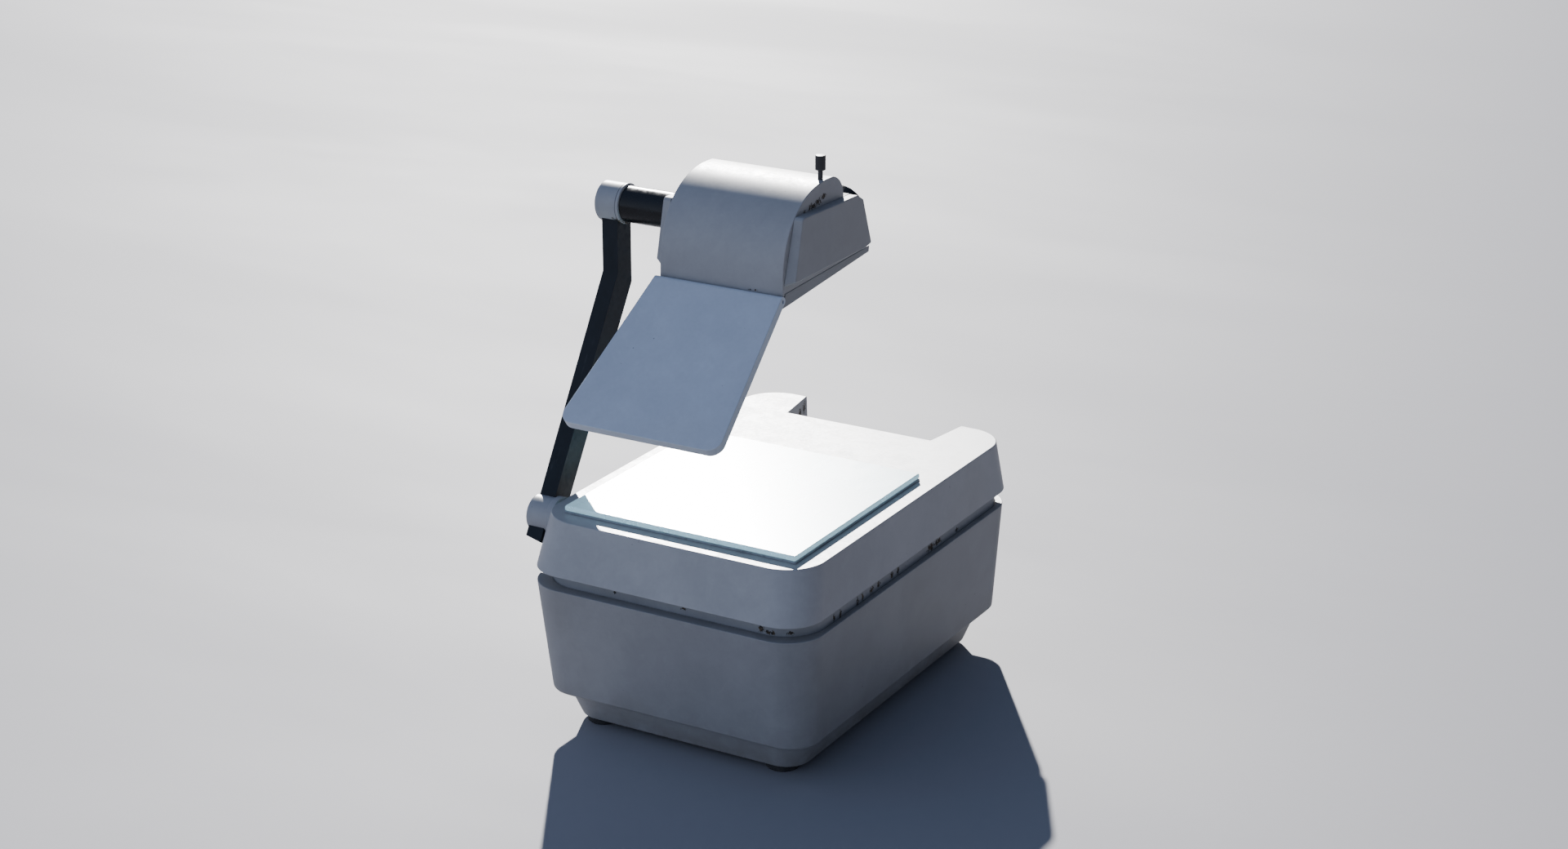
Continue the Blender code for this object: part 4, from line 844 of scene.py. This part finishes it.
FROM_LEFT = Matrix.Rotation(math.radians(-90), 4, "Y")
long_bar = [(-197.7, 180.1)] + BAR[1:-1] + [(-174.7, 166.1)]
lower_hub = spun(
    round_corners(
        [(0.001, 183.5), (LOWER_HUB_R, 183.5), (LOWER_HUB_R, 159.5), (SPINDLE_R + 0.1, 159.5), (SPINDLE_R + 0.1, 179.5), (0.001, 179.5)],
        [0, 2.0, 0.8, 0.2, 0, 0], 6,
    ),
    "z", (0, 0, 0), 128, Matrix.Translation((0, PY, PZ)) @ FROM_LEFT,
)
lower_hub = carve(lower_hub, slab_x(grow(long_bar, 0.25), ARM_X0 - 0.25, ARM_X1 + 0.25))
finish_piece("lower_hub_fine", lower_hub, mat["hub"], "lower_hub", "arm", sharp=35)
upper_hub = spun(
    round_corners(
        [
            (0.001, 186.3), (UPPER_HUB_R - 0.2, 186.3), (UPPER_HUB_R - 0.2, 161.9), (UPPER_HUB_R - 1.0, 161.7), (UPPER_HUB_R - 1.0, 161.2),
            (UPPER_HUB_R, 161.0), (UPPER_HUB_R, 158.2), (SPINDLE_R + 0.1, 158.2), (SPINDLE_R + 0.1, 181.0), (0.001, 181.0),
        ],
        [0, 1.8, 0.1, 0.05, 0.05, 0.2, 0.9, 0.2, 0, 0], 6,
    ),
    "z", (0, 0, 0), 128, Matrix.Translation((0, UY, UZ)) @ FROM_LEFT,
)
upper_hub = carve(upper_hub, slab_x(grow(BAR, 0.25), ARM_X0 - 0.25, ARM_X1 + 0.25))
finish_piece("upper_hub_fine", upper_hub, mat["hub"], "upper_hub", "arm", sharp=35)

# ----------------------------------------------------------------- fine: head
tube = spun(
    round_corners([(TUBE_R, -64.5), (TUBE_R, -157.9), (SPINDLE_R + 0.3, -157.9), (SPINDLE_R + 0.3, -64.5)], [0.6, 0.8, 0.4, 0.4], 4),
    "x", (0, UY, UZ), 128,
)
finish_piece("head_tube_fine", tube, mat["tube"], "head_tube", "head", sharp=35)


def plate_top(y):
    return 460.0 + (y + 103.6) * (465.4 - 460.0) / (63.8 + 103.6)


def plate_bottom(y):
    return 445.9 + (y + 108.8) * (459.1 - 445.9) / (62.7 + 108.8)


def head_profile(inset=0.0, steps=40, back=14):
    (cy, cz), a, b = BARREL_C, BARREL_A - inset, BARREL_B - inset
    points = []
    for k in range(steps + 1):
        t = math.radians(90.0 * k / steps)
        points.append((cy - a * math.cos(t) ** (2 / BARREL_N), cz + b * math.sin(t) ** (2 / BARREL_N)))
    (by, bz), ba, bb = BACK_C, BACK_A - inset, BACK_B - inset
    for k in range(back + 1):
        t = math.radians(8 + 82.0 * k / back)
        points.append((by + ba * math.sin(t), bz + bb * math.cos(t)))
    points.append((by + ba - 0.1, DECK_Z - inset))
    points.append((DECK_REAR - 0.4 * inset, DECK_Z - inset))
    points.append((REAR_TOP[0] - 0.9 * inset, REAR_TOP[1] - 0.9 * inset))
    points.append((REAR_BOTTOM[0] - inset, REAR_BOTTOM[1]))
    return points


outer = [(-109.2, 457.9)] + head_profile()
outer[-1] = (REAR_BOTTOM[0], plate_top(REAR_BOTTOM[0]) + 0.4)
outer.append((-106.0, plate_top(-103.6) + 0.4))
outer.append((-106.4, 457.9))
edge = 0.9
rows = []
for x, inset in ((-HEAD_HW, edge), (-HEAD_HW + 0.12, edge * 0.62), (-HEAD_HW + 0.42, edge * 0.22), (-HEAD_HW + edge, 0.0), (HEAD_HW - edge, 0.0), (HEAD_HW - 0.42, edge * 0.22), (HEAD_HW - 0.12, edge * 0.62), (HEAD_HW, edge)):
    ring = []
    for k, (y, z) in enumerate(outer):
        # only the rounded barrel's rim is eased, the underside stays flat
        cy, cz = -22.0, 480.0
        away = Vector((y - cy, z - cz)).normalized()
        ease = inset if 1 <= k < len(outer) - 3 else 0.0
        ring.append((x, y - away.x * ease, z - away.y * ease))
    rows.append(ring)
head_shell = loft(rows)
inner = [(BARREL_C[0] - BARREL_A + HEAD_WALL, 440.0)] + head_profile(HEAD_WALL)[:-1]
inner += [(REAR_BOTTOM[0] - HEAD_WALL, 472.0), (REAR_BOTTOM[0] - HEAD_WALL, 440.0)]
head_shell = carve(head_shell, slab_x(inner, -HEAD_HW + HEAD_WALL, HEAD_HW - HEAD_WALL))
head_shell = carve(head_shell, rod(TUBE_R + 0.3, -75.0, -60.0, "x", (0, UY, UZ), 96))
head_shell = carve(head_shell, rod(2.9, 520.0, 570.0, "z", (KNOB[0], KNOB[1], 0), 32))

REAR_V = Vector((0.0, REAR_TOP[0] - REAR_BOTTOM[0], REAR_TOP[1] - REAR_BOTTOM[1])).normalized()
REAR_N = Vector((0.0, REAR_V.z, -REAR_V.y))
REAR_O = Vector((0.0, 42.9, 496.5))
REAR_FRAME = Matrix(
    ((-1.0, 0.0, 0.0, REAR_O.x), (0.0, REAR_V.y, REAR_N.y, REAR_O.y), (0.0, REAR_V.z, REAR_N.z, REAR_O.z), (0.0, 0.0, 0.0, 1.0))
)
port = rod(27.0, -14.0, 14.0, "z", (0, 0, 0), 96)
port.transform(REAR_FRAME)
head_shell = carve(head_shell, port)
finish_piece("head_shell_fine", head_shell, mat["head"], "head_shell", "head", sharp=30)

hood_rows = [[(x, y, 0.35) for x, y in outline(70.9, -29.0, 32.6, 24.0, 14)]]
for k in range(6):
    a = math.pi / 2 * k / 5
    inset = 2.2 * (1 - math.cos(a))
    hood_rows.append(
        [(x, y, 11.2 - 2.2 * (1 - math.sin(a))) for x, y in outline(70.9 - inset, -29.0 + inset, 32.6 - inset, 24.0 - inset, 14)]
    )
hood = loft(hood_rows)
hood.transform(REAR_FRAME)
bore = rod(27.2, -5.0, 20.0, "z", (0, 0, 0), 96)
bore.transform(REAR_FRAME)
hood = carve(hood, bore)
finish_piece("rear_hood_fine", hood, mat["hood"], "rear_hood", "head", sharp=35)
cell = spun(
    round_corners(
        [(24.6, 12.6), (26.8, 12.6), (26.8, -10.0), (22.5, -10.0), (22.5, -3.2), (24.6, -3.2), (24.6, 5.0), (25.1, 5.5), (25.1, 7.5), (24.6, 8.0)],
        [0.4, 0.7, 0.3, 0.3, 0.2, 0.1, 0.1, 0.1, 0.1, 0.1], 3,
    ),
    "z", (0, 0, 0), 128, REAR_FRAME,
)
finish_piece("lens_cell_fine", cell, mat["black"], "lens_cell", "head", sharp=30)


def dome(radius, edge_z, crown_z, steps=14):
    return [(radius * k / steps, crown_z + (edge_z - crown_z) * (k / steps) ** 2) for k in range(steps + 1)]


lens = spun(dome(24.2, 3.2, 9.0) + [(24.2, -2.6), (0, -2.6)], "z", (0, 0, 0), 96, REAR_FRAME)
finish_piece("projection_lens_fine", lens, mat["lens"], "projection_lens", "head", sharp=30)

COVER = [(-86.9, 531.2), (21.7, 528.2), (33.3, 521.6), (51.0, 472.9), (39.0, 470.6), (-101.8, 470.8)]
COVER_FOOT = [(-87.4, 531.4), (21.7, 528.2), (33.3, 521.6), (51.0, 472.4), (40.0, 469.4), (-107.8, 467.4)]
COVER_ROUND = [5.0, 2.5, 2.5, 2.0, 1.5, 2.2]
cover_plan = round_corners(COVER, COVER_ROUND, 6)
cover_foot = round_corners(COVER_FOOT, COVER_ROUND, 6)
for name, sx in (("left_cover", -1), ("right_cover", 1)):
    rows = [[(sx * (HEAD_HW + GAP), y, z) for y, z in cover_foot]]
    for k in range(6):
        a = math.pi / 2 * k / 5
        ring = grow(cover_plan, -1.1 * (1 - math.cos(a)))
        rows.append([(sx * (COVER_X - 1.1 * (1 - math.sin(a))), y, z) for y, z in ring])
    cover = loft(rows)
    if sx < 0:
        cover = carve(cover, rod(TUBE_R + 0.3, -90.0, -60.0, "x", (0, UY, UZ), 96))
    finish_piece(name + "_fine", cover, mat["cover"], name, "head", sharp=30)

plate = [
    (-108.8, plate_bottom(-108.8)), (62.7, plate_bottom(62.7)), (63.8, plate_top(63.8)),
    (-105.2, plate_top(-105.2)), (-105.6, 457.4), (-108.8, 457.4),
]
plate = slab_x(round_corners(plate, [1.0, 1.2, 1.0, 0.1, 0.1, 0.6], 4), -HEAD_HW, HEAD_HW, 0.8, 3)
lug_ring = [
    (FLAP_AXIS[0] - 3.0 * math.sin(math.radians(10.0 * k)), FLAP_AXIS[1] + 3.0 * math.cos(math.radians(10.0 * k))) for k in range(19)
]
for sx in (-1, 1):
    a, b = sorted((sx * 61.5, sx * 66.5))
    plate = carve(plate, slab_x([(-107.0, 452.0)] + lug_ring[::-1] + [(-107.0, 457.0)], a, b), "UNION")
plate = carve(plate, rod(33.0, 430.0, 480.0, "z", (0, LENS_Y, 0), 96))
plate = carve(plate, rod(34.6, 440.0, plate_bottom(LENS_Y) + 1.4, "z", (0, LENS_Y, 0), 96))
plate = carve(plate, rod(1.9, -80.0, 80.0, "x", (0, *FLAP_AXIS), 24))
finish_piece("head_base_plate_fine", plate, mat["base"], "head_base_plate", "head", sharp=32)

objective = spun(
    round_corners(
        [(30.2, 470.2), (32.4, 470.2), (32.4, 453.5), (27.5, 453.5), (27.5, 454.6), (28.4, 455.2), (28.4, 456.5), (30.2, 456.5)],
        [0.2, 0.3, 0.6, 0.4, 0.2, 0.2, 0.1, 0.1], 3,
    ),
    "z", (0, LENS_Y, 0), 96,
)
finish_piece("objective_cell_fine", objective, mat["black"], "objective_cell", "lens", sharp=30)
glass = spun(dome(29.9, 461.4, 467.0)[:] + [(29.9, 458.6)] + dome(29.9, 458.6, 456.9)[::-1][1:], "z", (0, LENS_Y, 0), 96)
finish_piece("objective_lens_fine", glass, mat["lens"], "objective_lens", "lens", sharp=30)

knob_profile = round_corners(
    [(0.001, 578.0), (5.15, 578.0), (5.15, 563.4), (2.5, 562.6), (2.5, 553.5), (0.001, 553.5)], [0, 0.7, 0.5, 0.4, 0.3, 0], 4
)
body_heights = [(5.15, 577.0 - 0.9 * k) for k in range(1, 15)]
knob_profile = [p for p in knob_profile if p[1] > 577.0] + body_heights + [p for p in knob_profile if p[1] < 564.4]
knob = spun(knob_profile, "z", (KNOB[0], KNOB[1], 0), 144, ribs=(24, 0.28, 564.6, 576.6))
finish_piece("focus_knob_fine", knob, mat["knob"], "focus_knob", "knob", sharp=40)
screw_profile = [(0.001, 553.2), (2.2, 553.2)]
z = 552.4
while z > 469.6:
    screw_profile += [(2.2, z), (1.85, z - 0.5), (2.2, z - 1.0)]
    z -= 1.0
screw_profile += [(2.2, 468.6), (0.001, 468.6)]
finish_piece("focus_screw_fine", spun(screw_profile, "z", (KNOB[0], KNOB[1], 0), 28), mat["turned"], "focus_screw", "knob", sharp=25)

# ----------------------------------------------------------------- fine: flap
ALONG = Vector((0.0, -math.cos(math.radians(FLAP_TILT)), -math.sin(math.radians(FLAP_TILT))))
UPPER = Vector((0.0, -math.sin(math.radians(FLAP_TILT)), math.cos(math.radians(FLAP_TILT))))
HINGE = Vector((0.0, *FLAP_AXIS))


def flap_point(x, u, w):
    p = HINGE + ALONG * u + UPPER * w
    return (x, p.y, p.z)


def flap_outline(steps=14, radius=13.0):
    top_u, end = -0.25, FLAP_LENGTH - 2.5
    slope = math.atan2(FLAP_HW_END - FLAP_HW_TOP, end - top_u)
    cu = end - radius
    cx = FLAP_HW_TOP + (cu - top_u) * math.tan(slope) - radius / math.cos(slope)
    points = [(FLAP_HW_TOP, top_u)]
    for k in range(steps + 1):
        a = -slope + (math.pi / 2 + slope) * k / steps
        points.append((cx + radius * math.cos(a), cu + radius * math.sin(a)))
    return points + [(-x, u) for x, u in reversed(points)]


rim = flap_outline()
rows = []
for k in range(5):
    a = math.pi / 2 * k / 4
    inset = 1.4 * (1 - math.sin(a))
    rows.append([flap_point(x, u, -FLAP_T / 2 + 1.4 * (1 - math.cos(a))) for x, u in grow(rim, -inset)])
for k in range(4, -1, -1):
    a = math.pi / 2 * k / 4
    inset = 0.8 * (1 - math.sin(a))
    rows.append([flap_point(x, u, FLAP_T / 2 - 0.8 * (1 - math.cos(a))) for x, u in grow(rim, -inset)])
flap = loft(rows)
flap = carve(flap, rod(4.7, -71.6, 71.6, "x", (0, *FLAP_AXIS), 48), "UNION")
notches = []
for sx in (-1, 1):
    a, b = sorted((sx * 61.2, sx * 66.8))
    ring = [flap_point(0, u, w)[1:] for u, w in ((-8.0, -8.0), (3.4, -8.0), (3.4, 3.4), (-8.0, 3.4))]
    notches.append(slab_x(ring, a, b))
flap = carve(flap, joined(notches))
flap = carve(flap, rod(1.9, -80.0, 80.0, "x", (0, *FLAP_AXIS), 24))
finish_piece("flap_plate_fine", flap, mat["flap"], "flap_plate", "flap", sharp=32)

# ------------------------------------------------- fine copies of small pieces
for node, key, body, slot_name, width in (
    ("exhaust_grille", "black", "base", "black_plastic", 0.5),
    ("mains_inlet", "black", "base", "black_plastic", 0.4),
    ("fuse_holder", "black", "base", "black_plastic", 0.25),
    ("switch_bezel", "black", "base", "black_plastic", 0.5),
    ("power_rocker", "black", "rocker", "black_plastic", 0.5),
    ("fan_frame", "black", "base", "black_plastic", 0.5),
    ("fan_rotor", "black", "rotor", "black_plastic", 0.15),
    ("transformer_core", "steel", "base", "steel", 0.4),
    ("transformer_coil", "copper", "base", "copper", 0.3),
    ("lamp_bracket", "steel", "base", "steel", 0.4),
    ("lamp_socket", "ceramic", "base", "ceramic", 0.8),
    ("pivot_bracket", "steel", "base", "steel", 0.3),
    ("pivot_nut", "steel", "base", "steel", 0.5),
    ("tilt_nut", "steel", "arm", "steel", 0.5),
    ("mirror_mount", "steel", "head", "steel", 0.2),
    ("mirror", "mirror", "head", "mirror", 0.2),
    ("lens_carriage", "black", "lens", "black_plastic", 0.3),
):
    remake(node, mat[key], body, width)
for node, key in (
    ("fan_motor", "steel"), ("thermal_cutout", "black"), ("pivot_shaft", "turned"), ("tilt_spindle", "turned"),
    ("guide_rod", "turned"), ("flap_hinge_pin", "turned"), ("condenser_holder", "steel"), ("reflector", "mirror"),
    ("condenser_lens", "lens"), ("lamp", "bulb"),
):
    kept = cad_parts[node]
    kept.data.materials.clear()
    kept.data.materials.append(mat[key])

# ---------------------------------------------------------------- the setting
bm = bmesh.new()
bmesh.ops.create_grid(bm, x_segments=1, y_segments=1, size=14.0)
floor_mesh = bpy.data.meshes.new("floor")
bm.to_mesh(floor_mesh)
bm.free()
floor = bpy.data.objects.new("floor", floor_mesh)
bpy.context.scene.collection.objects.link(floor)
m = Nodes("pale_floor")
sweep = m.noise(0.9, 4.0, 0.55, 0.3, m.moved(scale=(0.5, 1.6, 1.0)))
grain = m.noise(55.0, 4.0, 0.6)
m.set(
    Base_Color=m.scaled((0.245, 0.242, 0.262), m.math("ADD", m.fit(sweep, 0.3, 0.7, 0.985, 1.015), m.fit(grain, 0.3, 0.7, -0.006, 0.006))),
    Roughness=m.fit(sweep, 0.3, 0.7, 0.60, 0.66),
)
m.shader.inputs["Specular IOR Level"].default_value = 0.3
floor_mesh.materials.append(m.material)

world = bpy.data.worlds.new("studio")
bpy.context.scene.world = world
world.use_nodes = True
tree = world.node_tree
back = tree.nodes["Background"]
where = tree.nodes.new("ShaderNodeTexCoord")
split = tree.nodes.new("ShaderNodeSeparateXYZ")
tree.links.new(where.outputs["Generated"], split.inputs[0])
ramp = tree.nodes.new("ShaderNodeValToRGB")
ramp.color_ramp.elements[0].position = 0.0
ramp.color_ramp.elements[0].color = (0.40, 0.455, 0.56, 1)
ramp.color_ramp.elements[1].position = 0.8
ramp.color_ramp.elements[1].color = (0.17, 0.235, 0.40, 1)
tree.links.new(split.outputs["Z"], ramp.inputs["Fac"])
# the soft fill stands on the operator's left, so the right side stays in shade
side = tree.nodes.new("ShaderNodeVectorMath")
side.operation = "DOT_PRODUCT"
side.inputs[1].default_value = Vector((-0.62, -0.78, 0.0)).normalized()
tree.links.new(where.outputs["Generated"], side.inputs[0])
fill = tree.nodes.new("ShaderNodeMapRange")
for socket, value in (("From Min", -1.0), ("From Max", 1.0), ("To Min", 0.0), ("To Max", 4.3)):
    fill.inputs[socket].default_value = value
tree.links.new(side.outputs["Value"], fill.inputs["Value"])
shade = tree.nodes.new("ShaderNodeVectorMath")
shade.operation = "SCALE"
tree.links.new(ramp.outputs["Color"], shade.inputs[0])
tree.links.new(fill.outputs["Result"], shade.inputs["Scale"])
tree.links.new(shade.outputs["Vector"], back.inputs["Color"])
back.inputs["Strength"].default_value = 0.5

sun = bpy.data.lights.new("key", "SUN")
sun.energy = 11.6
sun.angle = math.radians(1.0)
sun.color = (1.0, 0.985, 0.965)
key = bpy.data.objects.new("key", sun)
bpy.context.scene.collection.objects.link(key)
key.rotation_euler = Vector((1.1, -1.65, -1.0)).to_track_quat("-Z", "Y").to_euler()

camera_data = bpy.data.cameras.new("camera")
camera_data.lens = 65.88
camera_data.sensor_width = 36.0
camera_data.clip_end = 60.0
camera = bpy.data.objects.new("camera", camera_data)
bpy.context.scene.collection.objects.link(camera)
camera.location = Vector((1.3712, -2.3629, 1.2768)) + OFFSET
camera.rotation_euler = (math.radians(70.0), 0.0, math.radians(30.0))
bpy.context.scene.camera = camera
